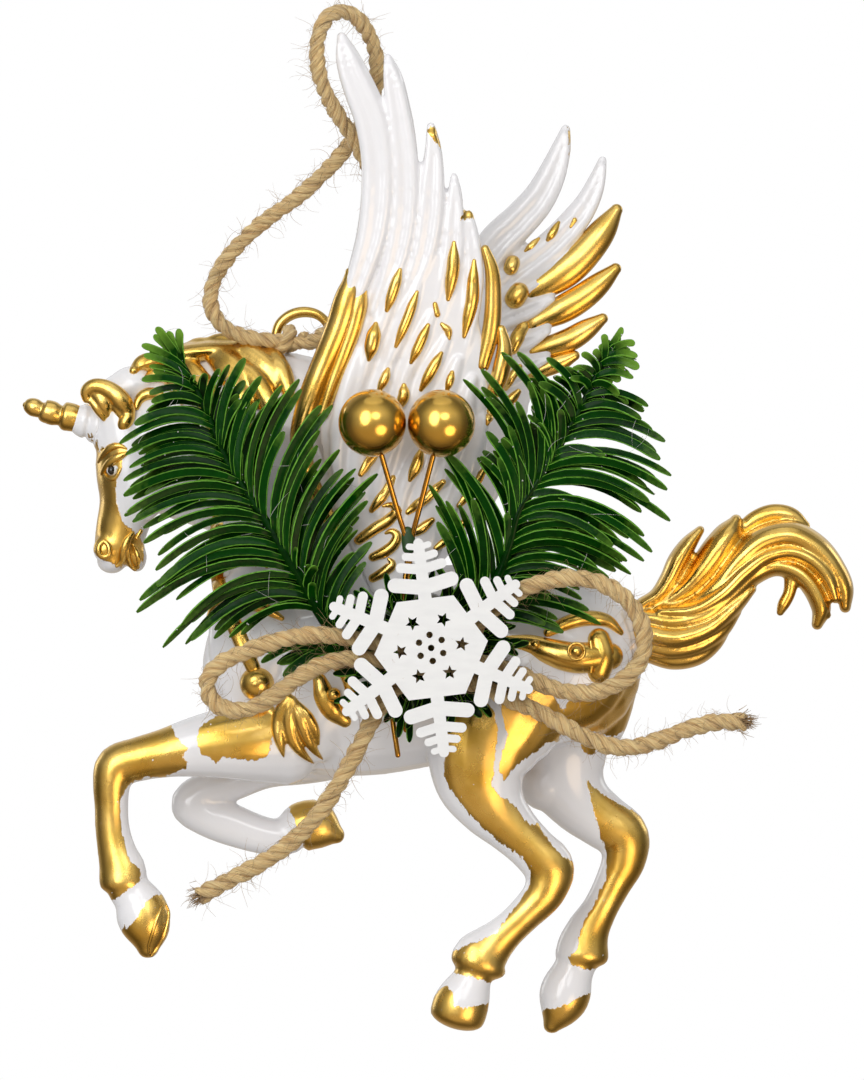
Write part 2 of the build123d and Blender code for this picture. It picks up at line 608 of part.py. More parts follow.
def flank_strip(place_share, shares, side):
    """Raised gold strip that follows the flank, sunk a little into it."""
    root = on_torso(place_share)
    rows = []
    for x, z, y, up, wide in shares:
        at = root + Vector(x * relief_length, 0, z * relief_length)
        depth = side * (torso_side(at) - relief_sink)
        rows.append((at + Vector(0, depth, 0), up * relief_thickness, wide * relief_thickness))
    return limb(rows)


def collar(side):
    """Breast strap that comes down the front of the shoulder to the ball."""
    root = on_torso(collar_place_share)
    half_width = neck_shares[3][4] * neck_thickness
    rows = []
    for x, z, y, up, wide in collar_shares:
        depth = side * (half_width - relief_sink + y * relief_length)
        at = root + Vector(x * relief_length, depth, z * relief_length)
        rows.append((at, up * relief_thickness, wide * relief_thickness))
    return limb(rows)


def knob(place_share, radius, side):
    """Round knob half sunk into the flank."""
    at = on_torso(place_share)
    return Pos(at.X, side * torso_side(at), at.Z) * Rot(side * 90, 0, 0) * Sphere(radius)


def pad_centre():
    """Middle of the glue pad, at its own depth beside the flank."""
    return on_torso(pad_place_share) - Vector(0, pad_depth, 0)


def in_front(share, stand):
    """Point at shares of the pad's size from its middle, stand away from the pad's front towards the viewer."""
    return place(pad_centre(), share, pad_size, pad_size) - Vector(0, pad_reach / 2 + stand, 0)


def glue_pad():
    """Lump of set glue between the flank and the decorations."""
    return limb(stations(pad_centre(), pad_size, pad_size, pad_shares, 1, pad_reach))


def stem_line(place_share, stem_shares):
    """Centre line of a sprig's stem."""
    root = in_front(place_share, -sprig_sink)
    points = [root + Vector(x * sprig_length, -y * sprig_length, z * sprig_length) for x, z, y in stem_shares]
    return Edge.make_spline(points)


def between(pairs, at):
    """Value at a place along a short table of place and value."""
    for (a, low), (b, high) in zip(pairs, pairs[1:]):
        if at <= b:
            return low + (high - low) * (at - a) / (b - a)
    return pairs[-1][1]


def needle(start, way, turn, lean, length):
    """One flat needle that leaves the stem at way degrees and bends by turn degrees; lean tips it forwards."""
    left, right = [], []
    for along, breadth in needle_profile_share:
        heading = radians(way + turn * along)
        mean = radians(way + turn * along / 2)
        at = start + Vector(cos(mean), 0, sin(mean)) * (length * along)
        aside = Vector(-sin(heading), 0, cos(heading)) * (sprig_length * needle_width_share * breadth / 2)
        left.append(at + aside)
        right.append(at - aside)
    outline = Wire.make_polygon(left + right[::-1], close=True)
    blade = extrude(Face(outline), needle_thickness / 2, dir=(0, 1, 0), both=True)
    hinge = Axis(start, (-sin(radians(way)), 0, cos(radians(way))))
    return blade.rotate(hinge, lean)


def stem(place_share, stem_shares):
    """Round stem of a sprig."""
    line = stem_line(place_share, stem_shares)
    last = len(stem_shares) - 1
    half = sprig_length * stem_width_share / 2
    return limb([(line @ (k / last), half, half) for k in range(last + 1)])


def sprig(place_share, stem_shares, outer_side):
    """Stem with two rows of needles in layers; outer_side is 1 if the outer row lies anticlockwise of the stem."""
    line = stem_line(place_share, stem_shares)
    forms = [stem(place_share, stem_shares)]
    rows = ((outer_side, outer_start, outer_turn), (-outer_side, inner_start, inner_turn))
    for i in range(needle_pairs):
        along = bare_stem_share + i / (needle_pairs - 1) * needle_run_share
        ahead = line % along
        heading = degrees(atan2(ahead.Z, ahead.X))
        length = sprig_length * needle_length_share * between(needle_grow_share, along)
        for layer, lean in ((-1, front_lean), (1, -back_lean)):
            at = line @ along + Vector(0, layer * layer_offset, 0)
            for side, start, turn in rows:
                forms.append(needle(at, heading + side * start, side * turn, lean, length))
    return one(Part() + forms)


def ball_centre(side):
    """Centre of one ball; side is -1 for the left one."""
    return in_front(ball_place_share, ball_rise - wire_diameter / 2) + Vector(side * ball_spacing / 2, 0, 0)


def wire_cross(side):
    """Point where one wire lies bound beside the other, let into the front of the pad further down."""
    return in_front(wire_cross_share, -wire_diameter / 2) + Vector(side * wire_lay, 0, 0)


def wire_route(side):
    """Stem from inside a ball to where the two are bound, and on past the snowflake."""
    centre = ball_centre(side)
    cross = wire_cross(side)
    end = in_front(wire_end_shares[(side + 1) // 2], -wire_diameter / 2)
    down = (cross - centre).normalized()
    start = centre + down * (ball_diameter / 2 - wire_sink)
    return start, cross, end


def ball_wire(side):
    """Wire stem of one ball, bent a little where the two are bound together."""
    route = wire_route(side)
    solid, line = tube([tuple(p) for p in route], wire_diameter)
    return one(solid)


def ball(side):
    """Ball with a socket for its wire."""
    start, cross, end = wire_route(side)
    down = (cross - start).normalized()
    socket = Plane(origin=start, z_dir=down) * Cylinder(
        wire_diameter / 2 + wire_fit, 2 * wire_sink, align=(Align.CENTER, Align.CENTER, Align.MIN)
    )
    centre = ball_centre(side)
    return one(Pos(*centre) * Solid.make_sphere(ball_diameter / 2) - socket)


def binding_tape(wires):
    """Short wrap that binds the two wires above the snowflake."""
    at = (wire_cross(-1) + wire_cross(1)) / 2
    section = SlotCenterToCenter(2 * wire_lay, wire_diameter + 2 * tape_wall)
    wrap = Pos(*at) * extrude(section, tape_length / 2, both=True)
    return one(wrap - wires)


def flake_arm():
    """One arm of the snowflake along +X: a tapering spine, a round tip and pairs of fingers."""
    tip = flake_radius - flake_tip_radius
    spine = make_face(Polyline(
        (0, -spine_half_width), (tip, -spine_tip_half_width), (tip, spine_tip_half_width),
        (0, spine_half_width),
        close=True,
    ))
    forms = [spine, Pos(tip, 0) * Circle(flake_tip_radius)]
    for along, reach, half in finger_shares:
        for side in (-1, 1):
            length = reach * flake_radius
            finger = SlotCenterPoint((length / 2, 0), (length, 0), 2 * half * flake_radius)
            forms.append(Pos(along * flake_radius, 0) * Rot(0, 0, side * (90 - finger_rise)) * finger)
    return Sketch() + forms


def snowflake():
    """Flat snowflake with star-shaped and round holes."""
    arm = flake_arm()
    step = 360 / flake_arms
    outline = Sketch() + [Rot(0, 0, k * step) * arm for k in range(flake_arms)]
    outline += Rot(0, 0, step / 2) * RegularPolygon(flake_hub_radius, flake_arms)
    tips = []
    for k in range(2 * star_points):
        reach = star_waist if k % 2 else star_radius
        angle = pi * k / star_points
        tips.append((reach * cos(angle), reach * sin(angle)))
    star = make_face(Polyline(*tips, close=True))
    holes = [Circle(bore_radius)]
    for k in range(flake_arms):
        holes.append(Rot(0, 0, k * step) * Pos(bore_ring_radius, 0) * Circle(bore_radius))
        holes.append(Rot(0, 0, (k + 0.5) * step) * Pos(star_ring_radius, 0) * star)
    plate = extrude(outline - holes, flake_thickness)
    at = in_front(flake_place_share, knot_depth)
    facing = Plane(origin=at, x_dir=(1, 0, 0), z_dir=(0, -1, 0))
    return one(facing * Rot(0, 0, 90 + flake_turn) * plate)


def knot_centre():
    """Middle of the bow's knot, seated between the pad and the snowflake."""
    return in_front(knot_place_share, knot_depth / 2)


def bow_knot(around):
    """Lump where the bow is tied, pressed between the pad and the snowflake round the strands that run into it."""
    return one(limb(stations(knot_centre(), knot_length, knot_height, knot_shares, 1, knot_depth)) - around)


def bow_cord(name, route):
    """Free strand of the bow, drawn from the middle of the knot."""
    return cord(name, [tuple(knot_centre() + Vector(*p)) for p in route], bow_diameter)


def hanger_knot():
    """Knot that ties the hanging loop to the eye."""
    return limb(stations(Vector(*hanger_knot_place), hanger_knot_size, hanger_knot_size, hanger_knot_shares))


def save(name, solid):
    """Writes one named piece."""
    solid.label = name
    export_step(solid, "parts/" + name + ".step")


def build():
    """Makes every piece and writes it."""
    os.makedirs("parts", exist_ok=True)
    pieces = {}
    body = body_solid()
    pieces["near_body_half"], pieces["far_body_half"] = body_halves(body)
    pieces["horn"] = one(horn() - body)
    for word, side in (("near", -1), ("far", 1)):
        pieces[word + "_ear"] = one(ear(side) - body)
        pieces[word + "_eye"] = one(eye(side) - body)
        pieces[word + "_rump_strap"] = one(flank_strip(rump_strap_place_share, rump_strap_shares, side) - body)
        pieces[word + "_saddle_band"] = one(flank_strip(saddle_band_place_share, saddle_band_shares, side) - body)
        chest_ball = one(knob(chest_ball_place_share, chest_ball_radius, side) - body)
        pieces[word + "_chest_ball"] = chest_ball
        pieces[word + "_collar"] = one(collar(side) - body - chest_ball)
    pieces["tail"] = one(tail() - body)
    pieces["hanging_eye"] = one(hanging_eye() - body)
    pieces["mane"] = one(mane(body) - pieces["hanging_eye"])
    forelegs = (("near", -1, near_foreleg_place_share, near_foreleg_shares),
                ("far", 1, far_foreleg_place_share, far_foreleg_shares))
    hindlegs = (("near", -1, near_hindleg_place_share, near_hindleg_shares),
                ("far", 1, far_hindleg_place_share, far_hindleg_shares))
    for word, side, place_share, shares in forelegs:
        pieces[word + "_foreleg"] = one(leg(place_share, side * foreleg_spread, foreleg_length, shares) - body)
    for word, side, place_share, shares in hindlegs:
        pieces[word + "_hindleg"] = one(leg(place_share, side * hindleg_spread, hindleg_length, shares) - body)
    near_wing = wing(near_wing_place_share, near_wing_root, near_feather_shares, -1)
    far_wing = wing(far_wing_place_share, far_wing_root, far_feather_shares, 1)
    pieces["near_wing"] = one(near_wing - body)
    pieces["far_wing"] = one(far_wing - body)
    for word, side in (("left", -1), ("right", 1)):
        pieces[word + "_ball"] = ball(side)
        pieces[word + "_ball_wire"] = ball_wire(side)
    wires = [pieces["left_ball_wire"], pieces["right_ball_wire"]]
    pieces["binding_tape"] = binding_tape(wires)
    sprigs = (("left", left_sprig_place_share, left_stem_shares, 1),
              ("right", right_sprig_place_share, right_stem_shares, -1))
    stems = []
    for word, place_share, shares, outer_side in sprigs:
        pieces[word + "_sprig"] = sprig(place_share, shares, outer_side)
        stems.append(stem(place_share, shares))
    pieces["right_sprig"] = one(pieces["right_sprig"] - pieces["right_ball"])
    pieces["glue_pad"] = one(glue_pad() - body - near_wing - pieces["near_hindleg"] - wires - stems)
    pieces["snowflake"] = snowflake()
    pieces["bow_left_loop"] = bow_cord("bow_left_loop", left_loop_route)
    pieces["bow_right_loop"] = bow_cord("bow_right_loop", right_loop_route)
    pieces["bow_left_tail"] = bow_cord("bow_left_tail", left_tail_route)
    pieces["bow_right_tail"] = bow_cord("bow_right_tail", right_tail_route)
    strands = [pieces[name] for name in ("bow_left_loop", "bow_right_loop", "bow_left_tail", "bow_right_tail")]
    pieces["bow_knot"] = bow_knot(strands + [pieces["glue_pad"], pieces["snowflake"]])
    pieces["hanging_cord"] = cord("hanging_cord", hanging_route, loop_diameter)
    tied = [pieces["hanging_eye"], pieces["hanging_cord"], pieces["mane"]]
    pieces["hanging_knot"] = one(hanger_knot() - body - tied)
    for name, solid in pieces.items():
        save(name, solid)


build()
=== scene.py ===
import math
import random

import bpy
import numpy as np
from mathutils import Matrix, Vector
from mathutils.bvhtree import BVHTree


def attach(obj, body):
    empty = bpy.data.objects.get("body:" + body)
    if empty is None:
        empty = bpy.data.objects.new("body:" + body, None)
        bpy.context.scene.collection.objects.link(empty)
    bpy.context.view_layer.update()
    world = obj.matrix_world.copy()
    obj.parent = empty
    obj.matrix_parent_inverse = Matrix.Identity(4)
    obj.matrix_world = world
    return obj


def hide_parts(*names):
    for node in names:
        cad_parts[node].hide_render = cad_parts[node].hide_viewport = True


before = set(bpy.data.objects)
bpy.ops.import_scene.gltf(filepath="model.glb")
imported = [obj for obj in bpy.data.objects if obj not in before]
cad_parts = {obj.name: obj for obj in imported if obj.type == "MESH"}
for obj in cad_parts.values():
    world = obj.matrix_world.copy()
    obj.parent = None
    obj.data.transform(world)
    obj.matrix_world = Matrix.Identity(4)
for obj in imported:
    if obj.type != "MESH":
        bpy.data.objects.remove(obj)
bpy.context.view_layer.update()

# Winged unicorn ornament. Rows of numbers are photograph pixels, then depth and half sizes in millimetres.
MM = 0.001
PX = 0.176  # millimetres to a pixel
EYE_PX, EYE_PY = 303, 328  # the frame's origin in the photograph
LEAN = math.tan(math.radians(5.5))  # how far a wing leans out
WING_Y, WING_Z = 12.4, -37.3  # depth of a wing's middle, and the height where it has it
FLOOR_Z = -0.19  # metres
rng = random.Random(11)


# Camera, light and floor

def set_stage():
    """Long lens square to the near side, a white room and a pale floor."""
    scene = bpy.context.scene
    scene.view_settings.view_transform = "Standard"
    data = bpy.data.cameras.new("camera")
    data.lens, data.sensor_width, data.clip_end = 1000, 36, 50
    camera = bpy.data.objects.new("camera", data)
    camera.location = (0.0227, -5.278, -0.0373)
    camera.rotation_euler = (math.radians(90), 0, 0)
    scene.collection.objects.link(camera)
    scene.camera = camera

    world = bpy.data.worlds.new("studio")
    world.use_nodes = True
    scene.world = world
    tree = world.node_tree
    tree.nodes.clear()
    split = add(tree, "SeparateXYZ", Vector=add(tree, "TexCoord").outputs["Generated"]).outputs
    by_height = (
        (0.0, 0.55, 0.5), (0.25, 0.5, 0.55), (0.45, 0.44, 0.8), (0.6, 0.5, 1.0), (0.75, 0.85, 1.0),
        (1.0, 0.9, 1.0),
    )
    by_depth = ((0.0, 1.0), (0.2, 0.85), (0.42, 0.28), (0.6, 0.16), (0.8, 0.5), (1.0, 1.0))
    height = graded(tree, split["Z"],
                    [(p, (v, v * (0.55 + 0.45 * cool), v * cool)) for p, v, cool in by_height])
    depth = graded(tree, split["Y"], [(p, (v, v, v)) for p, v in by_depth])
    room = add(tree, "Mix", {"data_type": "RGBA", "blend_type": "MULTIPLY"}, i0=1.0, i6=height, i7=depth)
    path = add(tree, "LightPath")
    glossy = add(tree, "Background", Color=room.outputs[2], Strength=1.25)
    plain = add(tree, "Background", Color=(1, 1, 1, 1), Strength=0.52)
    seen = add(tree, "Background", Color=(1, 1, 1, 1), Strength=1.0)
    mix = add(tree, "MixShader", i0=path.outputs["Is Glossy Ray"], i1=plain.outputs[0], i2=glossy.outputs[0])
    mix = add(tree, "MixShader", i0=path.outputs["Is Camera Ray"], i1=mix.outputs[0], i2=seen.outputs[0])
    out = tree.nodes.new("ShaderNodeOutputWorld")
    tree.links.new(mix.outputs[0], out.inputs["Surface"])

    white, warm = (1.0, 1.0, 1.0), (1.0, 0.72, 0.44)
    lamps = (
        ("key", (-0.32, -0.76, 0.22), 0.5, 0.74, 3.4, white),
        ("fill", (0.2, -0.85, 0.36), 0.46, 0.38, 1.3, white),
        ("top", (0.05, -0.1, 0.75), 0.7, 0.5, 0.5, white),
        ("rim_left", (-0.55, 0.45, 0.1), 0.2, 0.4, 0.35, white),
        ("rim_right", (0.6, 0.45, 0.2), 0.2, 0.4, 0.35, white),
        ("low", (0.45, -0.7, -0.38), 0.55, 0.5, 2.4, warm),
    )
    for name, place, wide, tall, power, colour in lamps:
        light = bpy.data.lights.new(name, "AREA")
        light.color = colour
        light.shape, light.size, light.size_y, light.energy = "ELLIPSE", wide, tall, power
        lamp = bpy.data.objects.new(name, light)
        lamp.location = place
        lamp.rotation_euler = (Vector((0.02, 0, -0.04)) - Vector(place)).to_track_quat("-Z", "Y").to_euler()
        scene.collection.objects.link(lamp)

    mesh = bpy.data.meshes.new("floor")
    mesh.from_pydata([(x, y, FLOOR_Z) for x, y in ((-2, -2), (2, -2), (2, 0.9), (-2, 0.9))], [],
                     [(0, 1, 2, 3)])
    floor = bpy.data.objects.new("floor", mesh)
    scene.collection.objects.link(floor)
    look = Look("floor", (0.93, 0.93, 0.92), 0.6)
    look.colour(look.blend(look.noise(60, 3), (0.94, 0.94, 0.93), (0.91, 0.91, 0.905)))
    look.shader.inputs["Emission Color"].default_value = (1, 1, 1, 1)
    look.shader.inputs["Emission Strength"].default_value = 0.6
    mesh.materials.append(look.material)
    floor.visible_glossy = floor.visible_diffuse = False


# Materials

def add(tree, kind, props=None, **inputs):
    """A shader node with its properties and inputs set; an output may feed one, and i2 is the third."""
    node = tree.nodes.new("ShaderNode" + kind)
    for key, value in (props or {}).items():
        setattr(node, key, value)
    for key, value in inputs.items():
        numbered = key[0] == "i" and key[1:].isdigit()
        socket = node.inputs[int(key[1:]) if numbered else key.replace("_", " ")]
        if isinstance(value, bpy.types.NodeSocket):
            tree.links.new(value, socket)
        else:
            socket.default_value = value
    return node


def colour_ramp(node, stops):
    """Sets a colour ramp's stops."""
    elements = node.color_ramp.elements
    while len(elements) < len(stops):
        elements.new(0.5)
    for element, (place, colour) in zip(elements, stops):
        element.position = place
        element.color = (*colour, 1)


def graded(tree, way, stops):
    """Colour of the room along one part of the direction looked in, which runs from -1 to 1."""
    share = add(tree, "MapRange", Value=way, From_Min=-1.0, From_Max=1.0).outputs["Result"]
    node = add(tree, "ValToRGB", Fac=share)
    colour_ramp(node, stops)
    return node.outputs["Color"]


class Look:
    """One procedural material; the colour and roughness it starts with give way to what is linked later."""

    def __init__(self, name, colour, roughness, metallic=0.0, coat=0.0):
        self.material = bpy.data.materials.new(name)
        self.material.use_nodes = True
        self.tree = self.material.node_tree
        self.shader = self.tree.nodes["Principled BSDF"]
        self.shader.inputs["Base Color"].default_value = (*colour, 1)
        self.shader.inputs["Roughness"].default_value = roughness
        self.shader.inputs["Metallic"].default_value = metallic
        self.shader.inputs["Coat Weight"].default_value = coat
        self.place = add(self.tree, "TexCoord").outputs["Object"]

    def noise(self, scale, detail, vector=None, stretch=None, rough=0.5):
        """Noise of so many waves to the metre."""
        vector = self.place if vector is None else vector
        if stretch:
            vector = add(self.tree, "Mapping", Vector=vector, Scale=stretch).outputs[0]
        node = add(self.tree, "TexNoise", Vector=vector, Scale=scale, Detail=detail, Roughness=rough)
        return node.outputs["Fac"]

    def ramp(self, value, low, high, start=0.0, end=1.0):
        """Value mapped from one range to another, clamped."""
        node = add(self.tree, "MapRange", Value=value, From_Min=low, From_Max=high, To_Min=start, To_Max=end)
        return node.outputs["Result"]

    def maths(self, operation, a, b):
        """Two numbers put together."""
        return add(self.tree, "Math", {"operation": operation}, i0=a, i1=b).outputs[0]

    def plus(self, a, b, share=1.0):
        """A number and a share of another."""
        return self.maths("ADD", a, b if share == 1.0 else self.maths("MULTIPLY", b, share))

    def patches(self, scale, detail, start, end):
        """Numbers between two ends in soft patches."""
        return self.ramp(self.noise(scale, detail), 0.3, 0.7, start, end)

    def blend(self, factor, a, b):
        """Colour between two colours."""
        node = add(self.tree, "Mix", {"data_type": "RGBA"}, i0=factor)
        for socket, value in ((node.inputs[6], a), (node.inputs[7], b)):
            if isinstance(value, bpy.types.NodeSocket):
                self.tree.links.new(value, socket)
            else:
                socket.default_value = (*value, 1)
        return node.outputs[2]

    def attribute(self, name):
        """Number stored on the mesh."""
        return add(self.tree, "Attribute", {"attribute_name": name}).outputs["Fac"]

    def colour(self, socket):
        """Links the base colour."""
        self.tree.links.new(socket, self.shader.inputs["Base Color"])

    def roughness(self, socket):
        """Links the roughness."""
        self.tree.links.new(socket, self.shader.inputs["Roughness"])

    def bump(self, height, strength, distance):
        """Fine relief from a height; distance is in metres."""
        node = add(self.tree, "Bump", Height=height, Strength=strength, Distance=distance)
        self.tree.links.new(node.outputs[0], self.shader.inputs["Normal"])


GOLD_LIGHT, GOLD_DEEP = (0.85, 0.57, 0.15), (0.68, 0.42, 0.07)
WHITE, WHITE_DIM = (0.9, 0.89, 0.9), (0.84, 0.83, 0.85)


def painted():
    """White moulded plastic with satin gold paint inside the stored outlines, ragged at the paint's edge."""
    look = Look("painted_plastic", WHITE, 0.2, 0.0, 0.4)
    look.shader.inputs["Coat Roughness"].default_value = 0.16
    depth = look.attribute("gold")
    ragged = look.maths("SUBTRACT", look.noise(1100, 5, rough=0.7), 0.5)
    streak = look.maths("SUBTRACT", look.noise(900, 2, stretch=(1.8, 1, 0.35)), 0.5)
    edge = look.plus(depth, look.plus(streak, ragged, 0.9))
    chips = look.ramp(look.noise(1500, 3), 0.73, 0.76, 0.0, -4.0)
    gold = look.ramp(look.plus(edge, chips), -0.04, 0.05)
    white = look.blend(look.noise(45, 3), WHITE, WHITE_DIM)
    metal = look.blend(look.ramp(look.noise(160, 4), 0.35, 0.65), GOLD_LIGHT, GOLD_DEEP)
    look.colour(look.blend(gold, white, metal))
    look.tree.links.new(gold, look.shader.inputs["Metallic"])
    gloss, satin = look.patches(120, 3, 0.11, 0.19), look.patches(350, 4, 0.24, 0.34)
    rough = add(look.tree, "Mix", {"data_type": "FLOAT"}, i0=gold, i2=gloss, i3=satin)
    look.roughness(rough.outputs[0])
    grain = look.maths("MULTIPLY", look.noise(5200, 2), look.ramp(gold, 0.0, 1.0, 0.08, 0.55))
    look.bump(look.plus(look.plus(grain, gold, 0.8), look.noise(170, 2), 0.7), 0.35, 0.00012)
    return look.material


def gold_paint():
    """Satin gold paint, a little darker and rougher in patches, with fine grain and a few worn specks."""
    look = Look("gold_paint", GOLD_LIGHT, 0.28, 1.0, 0.4)
    look.shader.inputs["Coat Roughness"].default_value = 0.2
    metal = look.blend(look.ramp(look.noise(190, 4), 0.35, 0.65), GOLD_LIGHT, GOLD_DEEP)
    specks = look.ramp(look.noise(1500, 3), 0.775, 0.79)
    look.colour(look.blend(specks, metal, (0.86, 0.8, 0.68)))
    look.roughness(look.patches(380, 4, 0.2, 0.3))
    look.bump(look.plus(look.noise(5200, 2), look.noise(300, 2), 0.8), 0.16, 0.0001)
    return look.material


def mirror_gold():
    """Plated ball: bright and faintly hazy, in two warm tones that vary in patches."""
    look = Look("mirror_gold", (0.55, 0.36, 0.08), 0.16, 1.0, 0.3)
    look.colour(look.blend(look.noise(260, 3), (0.72, 0.46, 0.1), (0.56, 0.33, 0.05)))
    look.roughness(look.ramp(look.noise(900, 3), 0.35, 0.7, 0.17, 0.23))
    look.bump(look.noise(420, 2), 0.12, 0.0001)
    return look.material


def wire_metal():
    """Lacquered brass wire with darker streaks."""
    look = Look("wire_metal", (0.62, 0.4, 0.13), 0.25, 1.0)
    look.colour(look.blend(look.noise(500, 3, stretch=(3, 3, 0.3)), (0.66, 0.36, 0.07), (0.4, 0.18, 0.02)))
    look.roughness(look.patches(700, 2, 0.1, 0.2))
    return look.material


def needle_green():
    """Moulded needles: dark glossy green, paler at edges and tips, painted shade on those further back."""
    look = Look("needle_green", (0.01, 0.1, 0.02), 0.22)
    look.shader.inputs["Specular IOR Level"].default_value = 0.07
    # Painted shade: the stored shade number darkens needles that lie behind others
    dark = look.blend(look.attribute("shade"), (0.0003, 0.004, 0.0003), (0.0008, 0.034, 0.0008))
    body = look.blend(look.ramp(look.noise(700, 3), 0.35, 0.75, 0, 0.4), dark, (0.003, 0.065, 0.002))
    rim = look.ramp(look.plus(look.attribute("edge"), look.noise(1300, 3), 0.35), 0.93, 1.22)
    body = look.blend(rim, body, (0.16, 0.4, 0.045))
    pale = look.ramp(look.plus(look.attribute("tip"), look.noise(900, 2), 0.3), 0.95, 1.5, 0, 0.9)
    look.colour(look.blend(pale, body, (0.16, 0.33, 0.035)))
    look.roughness(look.patches(1100, 3, 0.08, 0.24))
    look.bump(look.noise(2600, 3), 0.3, 0.00012)
    return look.material


def jute():
    """Twisted plant fibre: fine streaks along each strand, painted shade between the strands."""
    look = Look("jute", (0.5, 0.31, 0.15), 0.85)
    uv = add(look.tree, "UVMap", {"uv_map": "fibre"}).outputs[0]
    fine = look.noise(7.0, 4, uv, (0.11, 2.6, 1.0), 0.6)
    broad = look.noise(2.6, 3, uv, (0.5, 3.0, 1.0))
    tone = look.ramp(look.plus(look.maths("MULTIPLY", fine, 0.75), broad, 0.35), 0.37, 0.65)
    fibre = look.blend(tone, (0.55, 0.24, 0.045), (1.0, 0.78, 0.38))
    # Painted shade: darker where a strand turns in towards the other strands
    between = look.ramp(look.attribute("shade"), 0.12, 0.55, 0.9, 0.0)
    look.colour(look.blend(between, fibre, (0.12, 0.045, 0.012)))
    look.shader.inputs["Sheen Weight"].default_value = 0.25
    look.shader.inputs["Sheen Roughness"].default_value = 0.5
    look.roughness(look.ramp(fine, 0.3, 0.7, 0.7, 0.95))
    look.bump(fine, 1.0, 0.0005)
    return look.material


def fluff():
    """Loose fibres."""
    look = Look("fluff", (0.6, 0.42, 0.24), 0.7)
    look.colour(look.blend(look.noise(260, 2), (0.55, 0.38, 0.2), (0.22, 0.12, 0.05)))
    return look.material


def painted_wood():
    """Thin plywood: chalky white faces with faint grain, scorched brown cut edges."""
    look = Look("painted_wood", (0.9, 0.9, 0.9), 0.6)
    normal = add(look.tree, "NewGeometry").outputs["Normal"]
    facing = look.maths("ABSOLUTE", add(look.tree, "SeparateXYZ", Vector=normal).outputs["Y"], 0.0)
    grain = look.noise(500, 3, stretch=(0.4, 1, 1.6))
    cloud = look.noise(220, 3)
    worn = look.ramp(look.plus(grain, cloud, 0.5), 0.55, 1.0)
    face = look.blend(worn, (0.82, 0.82, 0.81), (0.77, 0.77, 0.765))
    burnt = look.blend(look.noise(1200, 3), (0.02, 0.012, 0.01), (0.07, 0.045, 0.03))
    look.colour(look.blend(look.ramp(facing, 0.45, 0.55), burnt, face))
    look.roughness(look.ramp(cloud, 0.3, 0.7, 0.5, 0.72))
    look.bump(look.plus(grain, look.noise(3000, 2)), 0.18, 0.0001)
    return look.material


def plain(name, light, dark, roughness, scale, coat=0.0, transmission=0.0):
    """Two close tones with a little bump, for small pieces."""
    look = Look(name, light, roughness, 0.0, coat)
    look.shader.inputs["Transmission Weight"].default_value = transmission
    look.colour(look.blend(look.noise(scale, 3), light, dark))
    look.bump(look.noise(scale * 2, 2), 0.25, 0.0001)
    return look.material


# Shapes, in millimetres

def at(px, py, y=0.0):
    """Place in millimetres of a pixel at a depth."""
    return ((px - EYE_PX) * PX, y, (EYE_PY - py) * PX)


def pixel(x, z):
    """The pixel of a place in millimetres."""
    return x / PX + EYE_PX, EYE_PY - z / PX


def rows_at(rows):
    """Rows of pixel, depth and half sizes as millimetres."""
    return [(*at(*row[:3]), *row[3:]) for row in rows]


def smooth(rows, step):
    """Rows read off a smooth curve through them, a step apart."""
    rows = np.array(rows, float)
    gaps = np.linalg.norm(np.diff(rows[:, :3], axis=0), axis=1)
    run = np.concatenate([[0], np.cumsum(gaps)])
    straight = np.diff(rows, axis=0) / gaps[:, None]
    slope = np.empty_like(rows)
    slope[0], slope[-1] = straight[0], straight[-1]
    if len(rows) > 2:
        share = (gaps[1:] / (gaps[1:] + gaps[:-1]))[:, None]
        slope[1:-1] = straight[:-1] * share + straight[1:] * (1 - share)
    s = np.linspace(0, run[-1], max(3, int(run[-1] / step) + 1))
    i = np.clip(np.searchsorted(run, s, side="right") - 1, 0, len(gaps) - 1)
    h = gaps[i][:, None]
    u = (s - run[i])[:, None] / h
    return ((2 * u**3 - 3 * u**2 + 1) * rows[i] + (u**3 - 2 * u**2 + u) * h * slope[i]
            + (3 * u**2 - 2 * u**3) * rows[i + 1] + (u**3 - u**2) * h * slope[i + 1])


def unit(v):
    """Directions of length one."""
    return v / np.maximum(np.linalg.norm(v, axis=-1, keepdims=True), 1e-9)


def scatter(spread):
    """Random step in three directions."""
    return np.array([rng.gauss(0, spread) for _ in range(3)])


def walls(base, count, sides):
    """Faces between rings of points that follow one another from a first vertex."""
    faces = []
    for a in range(base, base + (count - 1) * sides, sides):
        b = a + sides
        faces += [(a + k, a + (k + 1) % sides, b + (k + 1) % sides, b + k) for k in range(sides)]
    return faces


def skin(rings, first, last):
    """Closed mesh over rings of points, with a point at each end."""
    count, sides = len(rings), len(rings[0])
    verts = [tuple(first)] + [tuple(p) for ring in rings for p in ring] + [tuple(last)]
    faces = [(0, 1 + (k + 1) % sides, 1 + k) for k in range(sides)] + walls(1, count, sides)
    end, a = len(verts) - 1, 1 + (count - 1) * sides
    faces += [(end, a + k, a + (k + 1) % sides) for k in range(sides)]
    return verts, faces


